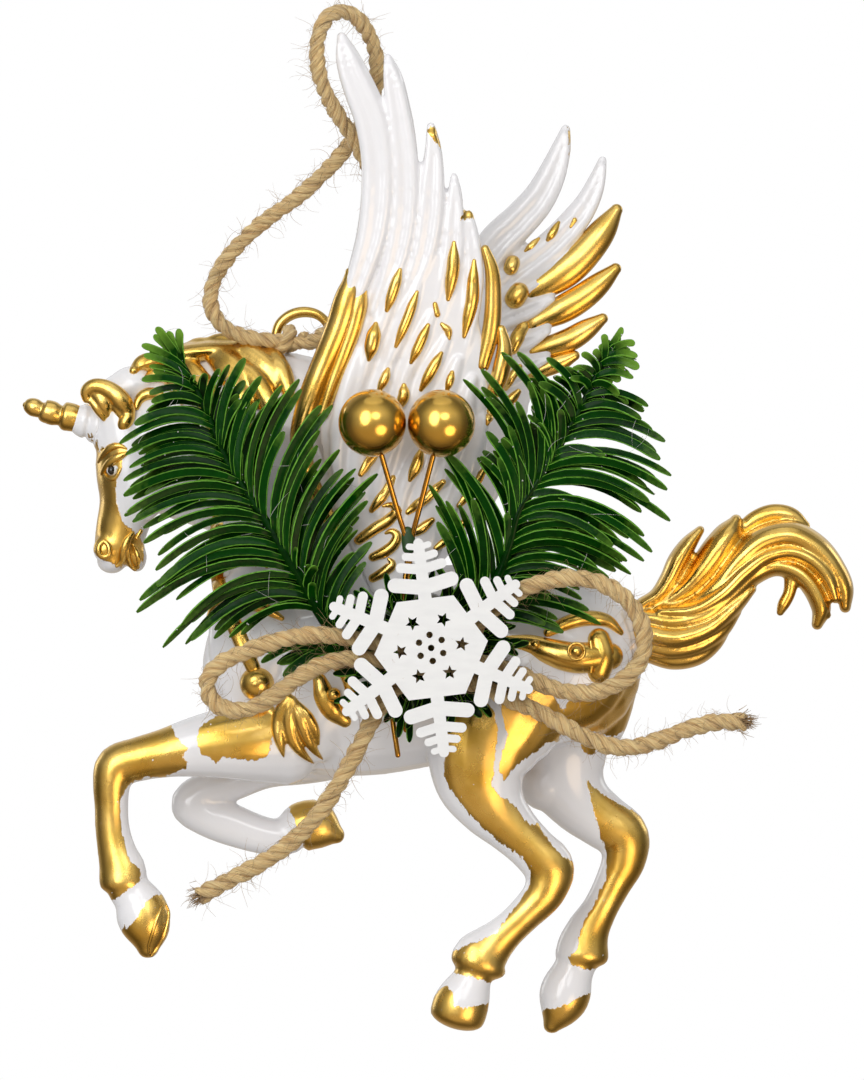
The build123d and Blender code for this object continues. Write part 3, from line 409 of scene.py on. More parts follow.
def tube(rows, step, sides, ends=(1.0, 1.0)):
    """Tapering tube with rounded ends along rows of place, half size in the picture plane and across it."""
    line = smooth([r if len(r) > 4 else (*r, r[3]) for r in rows], step)
    p = line[:, :3]
    half_up, half_across = (np.maximum(line[:, k:k + 1], 0.05) for k in (3, 4))
    way = unit(np.gradient(p, axis=0))
    hint = np.array((0.0, 1.0, 0.0))
    across = unit(hint - way * (way @ hint)[:, None])
    up = np.cross(way, across)
    turn = np.linspace(0, 2 * math.pi, sides, endpoint=False)
    c, s = np.cos(turn), np.sin(turn)
    rings = [p[i] + np.outer(c, across[i] * half_across[i]) + np.outer(s, up[i] * half_up[i]) for i
             in range(len(p))]
    before, after = [], []
    for kept, i, sign, share in ((before, 0, -1, ends[0]), (after, -1, 1, ends[1])):
        reach = min(half_up[i][0], half_across[i][0]) * share
        for angle in (0.35, 0.7, 1.05, 1.35):
            step_out = way[i] * sign * reach * math.sin(angle)
            kept.append(p[i] + step_out + (rings[i] - p[i]) * math.cos(angle))
        kept.append(p[i] + way[i] * sign * reach)
    return skin(before[:4][::-1] + rings + after[:4], before[4], after[4])


def ball_shape(centre, radii, turns=24):
    """Closed rounded lump with three half sizes."""
    rings = []
    b = np.linspace(0, 2 * math.pi, turns, endpoint=False)
    for a in np.linspace(0, math.pi, turns // 2 + 1)[1:-1]:
        ring = np.stack([np.sin(a) * np.cos(b), np.full(turns, -np.cos(a)), -np.sin(a) * np.sin(b)], 1)
        rings.append(np.array(centre) + ring * np.array(radii))
    low, high = np.array(centre) - (0, radii[1], 0), np.array(centre) + (0, radii[1], 0)
    return skin(rings, low, high)


def make(name, shapes, look, replaces=(), voxel=None, rounds=0):
    """One piece from shapes; with a voxel size they are melted together and smoothed."""
    verts, faces = [], []
    for shape_verts, shape_faces in shapes:
        faces += [tuple(i + len(verts) for i in f) for f in shape_faces]
        verts += shape_verts
    mesh = bpy.data.meshes.new(name)
    mesh.from_pydata((np.array(verts, float) * MM).tolist(), [], faces)
    piece = bpy.data.objects.new(name, mesh)
    bpy.context.scene.collection.objects.link(piece)
    if voxel:
        melt = piece.modifiers.new("melt", "REMESH")
        melt.mode, melt.voxel_size = "VOXEL", voxel * MM * 1
        ease = piece.modifiers.new("ease", "SMOOTH")
        ease.factor, ease.iterations = 0.5, rounds
        bpy.context.view_layer.update()
        graph = bpy.context.evaluated_depsgraph_get()
        piece.data = bpy.data.meshes.new_from_object(piece.evaluated_get(graph))
        piece.data.name = name
        piece.modifiers.clear()
        bpy.data.meshes.remove(mesh)
    piece.data.polygons.foreach_set("use_smooth", [True] * len(piece.data.polygons))
    piece.data.materials.clear()
    material, slot = LOOKS[look]
    piece.data.materials.append(material)
    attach(piece, "root")
    if replaces:
        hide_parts(*replaces)
    return piece


def store(piece, name, values):
    """Keeps one number for each vertex."""
    piece.data.attributes.new(name, "FLOAT", "POINT").data.foreach_set(
        "value", np.asarray(values, np.float32))


def corners(piece):
    """The piece's vertices in millimetres."""
    flat = np.empty(len(piece.data.vertices) * 3)
    piece.data.vertices.foreach_get("co", flat)
    return flat.reshape(-1, 3) / MM


FAR_OUTSIDE = -50.0  # millimetres, for paint
RAY_START = 0.1  # metres


def depth_inside(points, outline):
    """How far inside an outline each point lies, negative outside; both in pixels."""
    a = np.array(outline, float)
    b = np.roll(a, -1, axis=0)
    run = b - a
    rel = points[:, None, :] - a[None]
    t = np.clip((rel * run).sum(-1) / (run * run).sum(-1), 0, 1)
    gap = np.linalg.norm(rel - t[..., None] * run, axis=-1).min(1)
    above = (a[None, :, 1] > points[:, None, 1]) != (b[None, :, 1] > points[:, None, 1])
    rise = np.where(run[:, 1] == 0, 1e-9, run[:, 1])
    cross = a[:, 0] + (points[:, None, 1] - a[:, 1]) * (run[:, 0] / rise)
    inside = (above & (points[:, None, 0] < cross)).sum(1) % 2 == 1
    return np.where(inside, gap, -gap)


def paint(piece, near, far):
    """Stores how deep each vertex lies inside the gold outlines of its side, in millimetres."""
    p = corners(piece)
    pixels = np.stack(pixel(p[:, 0], p[:, 2]), 1)
    depth = np.full(len(p), FAR_OUTSIDE)
    for outlines, side in ((near, p[:, 1] < 0), (far, p[:, 1] >= 0)):
        for outline in outlines:
            depth[side] = np.maximum(depth[side], depth_inside(pixels[side], outline) * PX)
    store(piece, "gold", depth)


def surface(piece):
    """Search tree of a piece, for laying trim on it."""
    return BVHTree.FromObject(piece, bpy.context.evaluated_depsgraph_get())


def lay(rows, tree, stand, near, rest=0.0):
    """Rows of pixel and half sizes laid on a surface as seen from the side; stand lifts them off it."""
    side = -1 if near else 1
    placed, last = [], rest
    for px, py, *sizes in rows:
        x, _, z = at(px, py)
        hit = tree.ray_cast(Vector((x * MM, side * RAY_START, z * MM)), Vector((0, -side, 0)))[0]
        last = hit.y / MM if hit else last
        placed.append((x, last + side * stand, z, *sizes))
    return placed


def trim(rows, tree, stand, near=True, step=0.5, sides=12, rest=0.0):
    """Tube laid on a surface; rest is its depth where the surface is missed from the start."""
    dense = smooth([(r[0], r[1], 0, *r[2:]) for r in rows], 4.0)
    flat = [(r[0], r[1], *r[3:]) for r in dense]
    return tube(lay(flat, tree, stand, near, rest), step, sides)


set_stage()
# Material and slot of each look
LOOKS = {
    "painted": (painted(), "white_plastic"), "gold": (gold_paint(), "gold_paint"),
    "mirror": (mirror_gold(), "gold_mirror"), "wire": (wire_metal(), "gold_wire"),
    "needle": (needle_green(), "needle_green"), "jute": (jute(), "jute"), "fluff": (fluff(), "jute"),
    "wood": (painted_wood(), "white_wood"),
    "black": (
        plain("black_enamel", (0.008, 0.008, 0.009), (0.02, 0.018, 0.015), 0.08, 900, 0.6), "black_enamel",
    ),
    "white": (plain("white_enamel", (0.9, 0.9, 0.9), (0.82, 0.82, 0.83), 0.12, 300, 0.4), "white_plastic"),
    # The glue lump's dark tones are painted shade, where shade falls behind the snowflake
    "glue": (plain("clear_glue", (0.2, 0.2, 0.16), (0.06, 0.075, 0.05), 0.2, 500, 0.5, 0.3), "clear_glue"),
    "strings": (
        plain("glue_strings", (0.8, 0.8, 0.76), (0.55, 0.55, 0.5), 0.12, 500, 0.5, 0.3), "clear_glue",
    ),
    "tape": (plain("green_tape", (0.02, 0.075, 0.012), (0.01, 0.035, 0.008), 0.5, 1500), "green_tape"),
}


# Twine

def spline_line(name, route):
    """Points of a route's own smooth curve."""
    data = bpy.data.curves.new(name + "_line", "CURVE")
    data.dimensions, data.resolution_u = "3D", 16
    spline = data.splines.new("NURBS")
    spline.points.add(len(route) - 1)
    for point, place in zip(spline.points, route):
        point.co = (*place, 1)
    spline.order_u, spline.use_endpoint_u = 3, True
    holder = bpy.data.objects.new(name + "_line", data)
    bpy.context.scene.collection.objects.link(holder)
    bpy.context.view_layer.update()
    mesh = bpy.data.meshes.new_from_object(holder.evaluated_get(bpy.context.evaluated_depsgraph_get()))
    line = np.array([v.co[:] for v in mesh.vertices])
    bpy.data.objects.remove(holder)
    bpy.data.meshes.remove(mesh)
    return line


def even(line, step):
    """The same line with its points a step apart."""
    run = np.concatenate([[0], np.cumsum(np.linalg.norm(np.diff(line, axis=0), axis=1))])
    s = np.linspace(0, run[-1], max(4, int(run[-1] / step)))
    return np.stack([np.interp(s, run, line[:, k]) for k in range(3)], 1), s


def carried_frames(p):
    """Two directions square to a line that turn with it as little as they can."""
    way = unit(np.gradient(p, axis=0))
    first = np.cross(way[0], (0.3, 1.0, 0.2))
    side = [first / np.linalg.norm(first)]
    for w in way[1:]:
        v = side[-1] - w * (side[-1] @ w)
        side.append(v / np.linalg.norm(v))
    side = np.array(side)
    return side, np.cross(way, side)


STRANDS, STRAND_SIDES, STRAND_STEP = 3, 18, 0.42
STRAND_OUT, STRAND_RADIUS = 0.245, 0.262  # in diameters of the twine
LAY_TURNS = 2.5  # diameters to one turn of the strands
FRAY_TAPER = 1.2
HAIRS_PER_MM, HAIR_STEPS, HAIR_RADIUS = 6.5, 7, 0.045
TUFT_COUNT, TUFT_RADIUS = 120, 0.085


def twine(name, line, diameter, nodes, frayed=False):
    """Three strands twisted round a line in millimetres, each with ridges of fibre, apart at a frayed end."""
    p, s = even(line, STRAND_STEP)
    side, up = carried_frames(p)
    left = s[-1] - s
    swell = 1 + 0.05 * np.sin(s * 0.7 + rng.random() * 6) + 0.03 * np.sin(s * 2.3 + rng.random() * 6)
    t = np.linspace(0, 2 * math.pi, STRAND_SIDES, endpoint=False)
    verts, faces, shade, uv_u, uv_v = [], [], [], [], []
    for k in range(STRANDS):
        phase = 2 * math.pi * (s / (diameter * LAY_TURNS) + k / STRANDS) + 0.25 * np.sin(s * 0.31 + k)
        spread = np.ones_like(s)
        if frayed:
            spread += 0.55 * np.clip((s - s[-1] + 3.0) / 3.0, 0, 1) ** 2
        out = np.cos(phase)[:, None] * side + np.sin(phase)[:, None] * up
        centre = p + out * (diameter * STRAND_OUT * spread * swell)[:, None]
        run = unit(np.gradient(centre, axis=0))
        a = unit(np.cross(run, out))
        b = np.cross(a, run)
        base = len(verts)
        for i in range(len(p)):
            ridge = 1 + 0.07 * np.sin(6 * t + s[i] * 2.3 + k) + 0.04 * np.sin(8 * t + s[i] * 1.1)
            r = diameter * STRAND_RADIUS * ridge * swell[i]
            if frayed and left[i] < FRAY_TAPER:
                r = r * (0.6 + 0.4 * left[i] / FRAY_TAPER)
            ring = centre[i] + np.outer(np.cos(t) * r, a[i]) + np.outer(np.sin(t) * r, b[i])
            verts += [tuple(q) for q in ring]
            # Painted shade number: 1 on a strand's outer side, 0 where it faces in towards the other strands
            shade += list(0.5 + 0.5 * np.sin(t))
            uv_u += [s[i] / diameter + 7.3 * k] * STRAND_SIDES
            uv_v += [j / STRAND_SIDES * 2 + k for j in range(STRAND_SIDES)]
        faces += walls(base, len(p), STRAND_SIDES)
        last = base + (len(p) - 1) * STRAND_SIDES
        faces += [tuple(range(base, base + STRAND_SIDES))[::-1], tuple(range(last, last + STRAND_SIDES))]
    piece = make(name, [(verts, faces)], "jute", nodes)
    store(piece, "shade", shade)
    layer = piece.data.uv_layers.new(name="fibre")
    for poly in piece.data.polygons:
        across = [uv_v[i] for i in poly.vertices]
        low = min(across)
        seam = max(across) - low > 1.0
        for loop, i, v in zip(poly.loop_indices, poly.vertices, across):
            layer.data[loop].uv = (uv_u[i], v + 2 if seam and v % 1 < 0.5 and v - low < 0.5 else v)
    return piece, p, s


def hairs(name, places, longest, count, lift):
    """Loose fibres that start near a line and curl away from it."""
    shapes = []
    way = unit(np.gradient(places, axis=0))
    for _ in range(count):
        i = rng.randrange(1, len(places) - 1)
        out = unit(np.cross(way[i], scatter(1)))
        q = places[i] + out * lift * rng.uniform(0.75, 1.0)
        heading = unit(way[i] * rng.choice((-1, 1)) * rng.uniform(0.4, 1.2) + out * rng.uniform(0.1, 0.75))
        bend = scatter(0.5)
        length = longest * rng.uniform(0.25, 1.0) ** 1.4
        line = [q]
        for _ in range(HAIR_STEPS):
            heading = unit(heading + bend * 0.5 - np.array((0, 0, 0.05)))
            bend = bend + scatter(0.16)
            line.append(line[-1] + heading * length / HAIR_STEPS)
        shapes.append(thread(line, HAIR_RADIUS * rng.uniform(0.6, 1.15)))
    return make(name, shapes, "fluff")


def tuft(name, p):
    """Straight fibres that stand out of the bare end of a twine."""
    way = unit(p[-1] - p[-6])
    shapes = []
    for _ in range(TUFT_COUNT):
        line = [p[-1] - way * rng.uniform(0.3, 1.4) + scatter(0.6)]
        heading = unit(way + scatter(0.32))
        for _ in range(4):
            heading = unit(heading + scatter(0.12))
            line.append(line[-1] + heading * rng.uniform(0.3, 0.8))
        shapes.append(thread(line, TUFT_RADIUS * rng.uniform(0.6, 1.2)))
    return make(name, shapes, "fluff")


THIRDS = (0, 2.094, 4.189)


def thread(line, radius):
    """Three-sided thin tube through points."""
    p = np.array(line)
    way = unit(np.gradient(p, axis=0))
    a = unit(np.cross(way, (0.31, 0.52, 0.79)))
    b = np.cross(way, a)
    taper = np.linspace(1, 0.35, len(p))
    rings = [p[i] + radius * taper[i] * np.array([a[i] * math.cos(t) + b[i] * math.sin(t) for t in THIRDS])
             for i in range(len(p))]
    return skin(rings, p[0], p[-1])


KNOT = (22.43, -24.6, -56.84)
ROUTES = {
    "bow_left_loop": (KNOT, 76.5, 3.1, "object",
                      (
                          (-4.4, -1.6, 1.2), (-8.8, -1.8, 1.6), (-13.4, -1.8, 2.2), (-18.0, -2.1, 3.0),
                          (-22.8, -2.6, 2.9), (-27.6, -3.1, 1.7), (-32.2, -3.1, 0.1), (-36.4, -2.6, -1.6),
                          (-39.3, -2.2, -4.6), (-38.8, -1.8, -8.4), (-35.4, -1.6, -10.5),
                          (-31.2, -1.6, -10.0), (-27.2, -1.4, -7.7), (-23.4, -1.2, -4.7), (-19.6, -1.1, -2.4),
                          (-15.2, -0.8, -1.2), (-10.4, -0.2, -1.3), (-5.7, -0.1, -1.8))),
    "bow_right_loop": (KNOT, 79.7, 3.1, "object",
                       (
                           (5.0, -1.6, 1.2), (8.2, -1.8, 4.4), (11.4, -1.9, 8.0), (15.6, -1.9, 10.8),
                           (20.4, -2.3, 12.5), (25.4, -2.8, 13.1), (30.2, -2.6, 12.0), (34.3, -2.2, 9.4),
                           (36.9, -1.8, 5.6), (37.7, -1.4, 1.4), (36.5, -1.1, -2.6), (33.2, -0.8, -5.6),
                           (28.8, -0.8, -7.3), (24.2, -0.6, -7.3), (19.8, -0.6, -5.9), (15.6, -0.4, -3.9),
                           (11.0, -0.2, -2.1), (6.2, -0.1, -1.9))),
    "bow_left_tail": (KNOT, 55.4, 3.1, "bare",
                      (
                          (-3.2, -0.1, -4.4), (-7.0, -1.2, -6.8), (-9.6, -1.0, -10.8), (-11.8, -0.6, -15.2),
                          (-14.2, -0.2, -19.8), (-16.8, 0.4, -24.4), (-20.2, 1.0, -29.2), (-24.4, 1.8, -33.6),
                          (-29.6, 2.4, -37.1), (-35.0, 3.0, -40.0), (-40.5, 3.4, -42.8))),
    "bow_right_tail": (KNOT, 55.1, 3.1, "bare",
                       (
                           (4.0, -0.6, -4.2), (7.8, -1.2, -5.6), (12.0, -0.8, -7.5), (16.6, -0.2, -9.4),
                           (21.4, 0.4, -11.8), (26.2, 1.0, -14.6), (30.6, 1.8, -16.6), (35.4, 2.6, -17.0),
                           (40.4, 3.4, -15.5), (45.4, 4.0, -13.4), (50.4, 4.4, -12.1), (55.2, 4.4, -12.4))),
    "hanging_cord": ((0, 0, 0), 156.0, 2.8, "object",
                     (
                         (-3.2, -3.6, -2.4), (-6.0, -4.4, -2.2), (-9.4, -4.8, -1.9), (-12.8, -4.8, -0.8),
                         (-15.6, -4.6, 1.8), (-16.5, -4.6, 5.6), (-15.2, -5.0, 9.6), (-12.6, -5.6, 13.2),
                         (-9.4, -6.2, 16.6), (-5.6, -6.8, 19.6), (-1.6, -7.6, 22.4), (2.2, -8.4, 25.6),
                         (5.6, -9.2, 29.0), (8.8, -9.8, 33.0), (11.4, -10.4, 37.4), (13.0, -11.0, 42.0),
                         (13.2, -12.0, 46.8), (11.8, -14.0, 51.4), (8.8, -17.4, 55.4), (4.8, -20.6, 55.2),
                         (2.6, -22.0, 51.4), (2.4, -21.6, 46.8), (3.4, -20.0, 42.4), (5.2, -17.4, 38.6),
                         (8.0, -14.8, 34.6), (11.0, -13.6, 29.6), (13.2, -13.2, 24.0), (13.9, -12.8, 18.0),
                         (13.2, -12.2, 12.2), (11.2, -11.0, 7.0), (8.2, -9.0, 2.6), (4.8, -6.4, -0.8),
                         (1.0, -3.8, -2.6))),
}


def cords():
    """Bow loops, bow ends and the hanging loop."""
    for name, (root, length, diameter, far_end, rel) in ROUTES.items():
        route = [tuple((a + b) * MM for a, b in zip(root, r)) for r in rel]
        line = spline_line(name, route)
        bare = far_end == "bare"
        piece, p, s = twine(name + "_twine", line / MM, diameter, (name,), bare)
        loose = [hairs(name + "_fibres", p, 5.5, int(s[-1] * HAIRS_PER_MM), diameter * 0.48)]
        if bare:
            loose.append(tuft(name + "_end_fibres", p))


def wraps(name, node, centre, turns, diameter):
    """Knot made of short turns of the same twine about its middle; the first turn stands for the node."""
    for k, rows in enumerate(turns):
        placed = [tuple(a + b for a, b in zip(centre, row)) for row in rows]
        twine(f"{name}_{k}", smooth(placed, 0.3)[:, :3], diameter, () if k else (node,))


# Turns of each knot, in millimetres from its middle
BOW_TURNS = (
    ((-1.6, 2.0, -3.0), (-2.0, -1.4, -2.2), (-2.0, -2.0, 0.6), (-1.4, -0.6, 2.6), (-0.8, 1.8, 2.4)),
    ((1.8, 1.8, -2.8), (2.2, -1.4, -2.0), (2.0, -2.0, 0.6), (1.6, -0.4, 2.6), (1.2, 1.6, 2.2)),
    ((-5.2, 0.6, -0.8), (-2.6, 1.0, 0.2), (0, 1.4, 0.4), (2.8, 1.0, 0.2), (5.2, 0.6, -0.6)),
    ((-3.6, 0.6, -2.6), (-1.2, 0.9, -1.9), (1.4, 0.9, -1.9), (3.8, 0.6, -2.4)),
)
HITCH_TURNS = (
    ((-4.3, -2.6, -3.6), (-3.2, -4.4, -3.0), (-2.4, -4.6, -1.6), (-2.3, -3.0, -0.6), (-2.6, -1.2, -0.8)),
    ((-3.6, -3.2, -2.6), (-1.6, -3.9, -2.6), (0.6, -3.7, -2.7), (2.4, -2.7, -2.6)),
    ((1.0, -3.9, -1.7), (-0.4, -3.2, -2.2), (-1.8, -1.8, -2.9), (-2.4, -0.4, -3.4)),
)


def knots():
    """Bow knot behind the snowflake and the hitch at the hanging eye."""
    wraps("bow_knot_turn", "bow_knot", KNOT, BOW_TURNS, 2.9)
    wraps("hitch_turn", "hanging_knot", (0, 0, 0), HITCH_TURNS, 2.5)


cords()
knots()


# Body, legs and head

# Share of its half size by which each end of a tube is rounded, then its rows
TRUNK = (
    ((0.95, 0.95),
     ((262, 654, 0, 15.6, 10.6), (300, 664, 0, 18.2, 12.8), (350, 669, 0, 18.8, 14.0),
      (436, 665, 0, 17.6, 14.0), (510, 660, 0, 17.2, 13.8), (578, 654, 0, 15.0, 12.0))),
    ((0.6, 0.5),
     ((330, 600, 0, 17.6, 12.3), (318, 530, 0, 19.7, 12.3), (290, 475, 0, 22.0, 11.3),
      (245, 445, 0, 17.6, 9.9), (200, 442, 0, 15.0, 8.4), (165, 440, 0, 12.8, 7.4), (142, 436, 0, 9.6, 6.2))),
    ((0.9, 0.8),
     ((118, 392, 0, 3.4, 4.4), (119, 408, 0, 4.5, 5.3), (124, 432, 0, 5.2, 6.4), (131, 457, 0, 6.3, 7.0),
      (131, 480, 0, 6.1, 6.9), (128, 505, 0, 5.1, 6.0), (122, 528, 0, 4.6, 5.1), (118.5, 546, 0, 4.3, 4.8))),
)
LEGS = (
    ((1, 0.55),
     ((285, 738, -5.0, 8.4, 6.5), (250, 741, -6.6, 7.2, 6.2), (215, 744, -7.4, 6.0, 5.5),
      (188, 748, -7.5, 5.1, 5.0), (164, 753, -7.5, 4.3, 4.4), (138, 759, -7.5, 3.9, 4.0),
      (116, 767, -7.5, 3.75, 3.8), (112, 785, -7.5, 3.3, 3.5), (112, 805, -7.5, 3.0, 3.1),
      (113, 828, -7.5, 3.05, 2.9), (118, 853, -7.5, 3.5, 3.1), (123, 870, -7.5, 4.2, 3.5),
      (123.5, 883, -7.5, 4.2, 3.8))),
    ((0.6, 0.8),
     ((125, 886, -7.5, 3.4, 3.2), (134, 895, -7.5, 3.9, 3.4), (140.5, 906, -7.5, 4.6, 4.0),
      (145, 920, -7.5, 4.65, 4.2), (148, 936, -7.5, 3.7, 3.6), (148.5, 949, -7.5, 1.9, 2.2))),
    ((1, 0.5),
     ((520, 668, -5.5, 13.5, 9.0), (495, 715, -6.8, 12.0, 8.4), (482, 752, -7.5, 10.0, 7.2),
      (482, 782, -7.6, 8.2, 6.2), (493, 806, -7.6, 6.2, 5.3), (512, 828, -7.6, 4.7, 4.7),
      (533, 849, -7.6, 4.2, 4.3), (549, 868, -7.6, 4.5, 4.0), (545, 889, -7.6, 3.8, 3.6),
      (524, 914, -7.6, 3.1, 3.2), (505, 932, -7.6, 3.2, 3.1), (490, 946, -7.6, 4.1, 3.6),
      (481, 956, -7.6, 5.0, 4.3), (478, 964, -7.6, 5.1, 4.4))),
    ((0.6, 0.5),
     ((476, 968, -7.6, 3.0, 3.2), (472, 978, -7.6, 3.5, 3.5), (466, 992, -7.6, 4.5, 4.2),
      (460, 1006, -7.6, 5.0, 4.6), (457, 1016, -7.6, 4.9, 4.4))),
    ((1, 0.5),
     ((350, 748, 3.5, 5.0, 6.0), (320, 756, 4.2, 4.6, 5.6), (300, 760, 5.0, 4.4, 5.2),
      (262, 771, 6.8, 3.3, 4.2), (234, 783, 7.5, 3.1, 3.6), (207, 791, 7.5, 3.5, 3.4),
      (190, 805, 7.5, 3.6, 3.4), (205, 816, 7.5, 3.5, 3.3), (226, 823, 7.5, 3.8, 3.3),
      (242, 829, 7.5, 3.6, 3.2), (257, 834, 7.5, 3.4, 3.2), (280, 838, 7.5, 3.2, 3.1),
      (294, 836, 7.5, 3.0, 3.0))),
    ((0.6, 0.8),
     ((290, 832, 7.5, 3.3, 3.2), (300, 826, 7.5, 4.2, 3.7), (314, 826, 7.5, 4.6, 4.0),
      (329, 832, 7.5, 3.2, 3.3), (338, 836, 7.5, 1.5, 2.0))),
    ((1, 0.5),
     ((578, 676, 5.5, 11.0, 8.5), (574, 715, 6.8, 9.6, 8.0), (564, 748, 7.5, 7.7, 7.0),
      (566, 778, 7.6, 7.2, 6.0), (581, 803, 7.6, 5.7, 5.2), (603, 821, 7.6, 5.0, 4.7),
      (624, 838, 7.6, 4.6, 4.3), (624, 859, 7.6, 4.0, 3.9), (613, 884, 7.6, 3.3, 3.4),
      (599, 911, 7.6, 3.2, 3.2), (588, 931, 7.6, 3.9, 3.5), (583, 947, 7.6, 4.6, 4.0),
      (582, 957, 7.6, 4.8, 4.2))),
    ((0.6, 0.8),
     ((579, 960, 7.6, 3.4, 3.3), (573, 972, 7.6, 3.7, 3.6), (567, 988, 7.6, 4.5, 4.2),
      (562, 1004, 7.6, 4.3, 4.2), (556, 1018, 7.6, 2.9, 3.2), (551, 1027, 7.6, 1.5, 2.0))),
)
# Pixel and depth of a lump, then its half sizes; the paired ones are on both sides
LUMPS = (
    ((112, 560, 0), (2.7, 4.2, 2.4)),
    ((137, 557, 0), (1.75, 3.6, 2.7)),
    ((134, 385, 0), (4.4, 4.6, 3.4)),
    ((104, 437, 0), (2.1, 4.2, 3.0)),
)
PAIRED_LUMPS = (
    ((142, 488, 4.2), (4.6, 3.0, 6.0)),
    ((106, 549, 3.0), (2.3, 2.0, 2.5)),
    ((262, 640, 6.5), (9.5, 6.5, 15.0)),
    ((312, 690, 7.0), (9.0, 6.6, 13.0)),
    ((560, 655, 6.0), (13.0, 7.6, 14.0)),
)
FAR_LEG_LUMPS = (
    ((547, 784, 6.4), (5.1, 4.6, 4.9)),
    ((194, 806, 7.5), (4.1, 3.4, 3.8)),
)


def body():
    """Torso, neck, legs and skull melted into one skin."""
    paired = tuple(((px, py, side * y), sizes) for side in (-1, 1) for (px, py, y), sizes in PAIRED_LUMPS)
    shapes = [tube(rows_at(rows), 1.0, 20, ends) for ends, rows in TRUNK + LEGS]
    shapes += [ball_shape(at(*place), sizes) for place, sizes in LUMPS + paired + FAR_LEG_LUMPS]
    nodes = ("near_body_half", "far_body_half", "near_foreleg", "far_foreleg", "near_hindleg", "far_hindleg")
    piece = make("body_skin", shapes, "painted", nodes, voxel=0.5, rounds=5)
    paint(piece, GOLD_BODY + GOLD_NEAR_LEGS, GOLD_BODY + GOLD_FAR_LEGS)
    return piece


FACE = (
    (84, 441), (94, 446), (97, 438), (99, 453), (103, 443), (106, 453), (110, 446), (116, 444), (128, 449),
    (124, 457), (122, 467), (118, 477), (115, 487), (118, 504), (120, 517), (128, 526), (136, 535),
    (141, 529), (140, 538), (145, 546), (143, 560), (138, 570), (129, 572), (126, 563), (120, 568),
    (111, 562), (103, 560), (97, 555), (84, 545), (82, 500),
)
GOLD_BODY = [
    FACE,
    [(197, 736), (200, 727), (211, 719), (223, 713), (245, 706), (274, 706), (275, 722), (273, 734),
     (269, 754), (257, 760), (243, 759), (223, 756), (215, 763), (210, 756), (202, 754), (199, 745)],
    [(566, 700), (600, 688), (650, 676), (650, 704), (626, 730), (612, 737), (585, 730), (563, 722)],
    [(580, 744), (588, 742), (596, 747), (594, 755), (584, 753)],
    [(504, 783), (499, 768), (502, 750), (508, 735), (502, 716), (498, 690), (546, 684), (566, 716),
     (558, 741), (546, 742), (534, 752), (518, 763), (510, 772)],
]
GOLD_NEAR_LEGS = [
    [(170, 720), (176, 736), (188, 748), (182, 757), (189, 761), (186, 768), (165, 777), (150, 776),
     (134, 781), (125, 789), (121, 800), (121, 824), (128, 856), (141, 869), (142, 879), (131, 888),
     (112, 900), (98, 893), (80, 860), (80, 770), (96, 740), (130, 724)],
    [(164, 893), (154, 896), (147, 902), (139, 914), (132, 923), (127, 928), (125, 924), (120, 935),
     (127, 946), (146, 966), (176, 930), (180, 900)],
    [(446, 750), (443, 775), (452, 790), (461, 802), (469, 813), (500, 842), (519, 854), (531, 871),
     (529, 884), (521, 898), (508, 915), (496, 932), (480, 939), (462, 947), (440, 952), (440, 966),
     (450, 970), (469, 975), (490, 982), (520, 984), (524, 950), (550, 925), (590, 898), (590, 868),
     (568, 859), (556, 848), (541, 829), (538, 822), (530, 825), (512, 803), (504, 796), (500, 797),
     (492, 784), (493, 766), (497, 742), (495, 712), (470, 690), (440, 700), (440, 735)],
    [(438, 990), (446, 984), (452, 991), (454, 1004), (462, 1007), (480, 1004), (498, 999), (500, 1015),
     (480, 1036), (440, 1040), (415, 1030), (425, 1006)],
]
GOLD_FAR_LEGS = [
    [(586, 778), (590, 800), (594, 812), (601, 838), (608, 855), (606, 881), (598, 893), (594, 906),
     (584, 922), (579, 935), (578, 949), (569, 958), (570, 964), (584, 969), (600, 970), (618, 968),
     (620, 935), (650, 872), (662, 845), (650, 820), (628, 809), (613, 801), (599, 791)],
    [(533, 1012), (541, 1014), (546, 1009), (555, 1009), (570, 1003), (584, 995), (600, 990), (600, 1010),
     (570, 1036), (545, 1042), (530, 1030)],
    [(288, 806), (290, 796), (310, 796), (350, 815), (352, 845), (313, 858), (304, 848), (301, 839),
     (296, 823)],
]


FACE_TRIM = (
    # Brow, upper and lower lid
    (-0.15, ((99, 462, 0.3), (105, 453, 0.6), (113, 447, 0.7), (121, 446, 0.5), (127, 449, 0.25))),
    (0.15, ((102, 474, 0.3), (106, 467, 0.6), (112, 461, 0.78), (119, 457, 0.75), (128, 453, 0.35))),
    (0.05, ((105, 474, 0.25), (109, 479, 0.4), (115, 478, 0.42), (121, 469, 0.25))),
    # Nostril
    (0.05, ((104, 541, 0.45), (100, 545, 0.55), (99, 551, 0.6), (103, 557, 0.55), (108, 556, 0.55),
            (110, 550, 0.55), (108, 544, 0.5), (104, 541, 0.45))),
    # Folds of the mouth
    (0.1, ((133, 533, 0.4), (128, 540, 0.7), (124, 550, 0.75), (121, 562, 0.6), (117, 566, 0.3))),
    (0.1, ((129, 543, 0.35), (128, 553, 0.55), (130, 563, 0.6), (135, 569, 0.4))),
    (0.1, ((134, 545, 0.3), (137, 552, 0.5), (139, 560, 0.45), (138, 566, 0.25))),
    (0.1, ((137, 538, 0.3), (141, 531, 0.4))),
)
HOOF_RIM = (
    (166, 903, 0.25), (169, 911, 0.3), (168, 923, 0.3), (163.5, 937, 0.3), (156.5, 949, 0.28),
    (151, 955, 0.25), (149, 949, 0.28), (151.5, 937, 0.32), (155.5, 924, 0.32), (160, 912, 0.32),
    (163.5, 905, 0.28), (166, 903, 0.25),
)


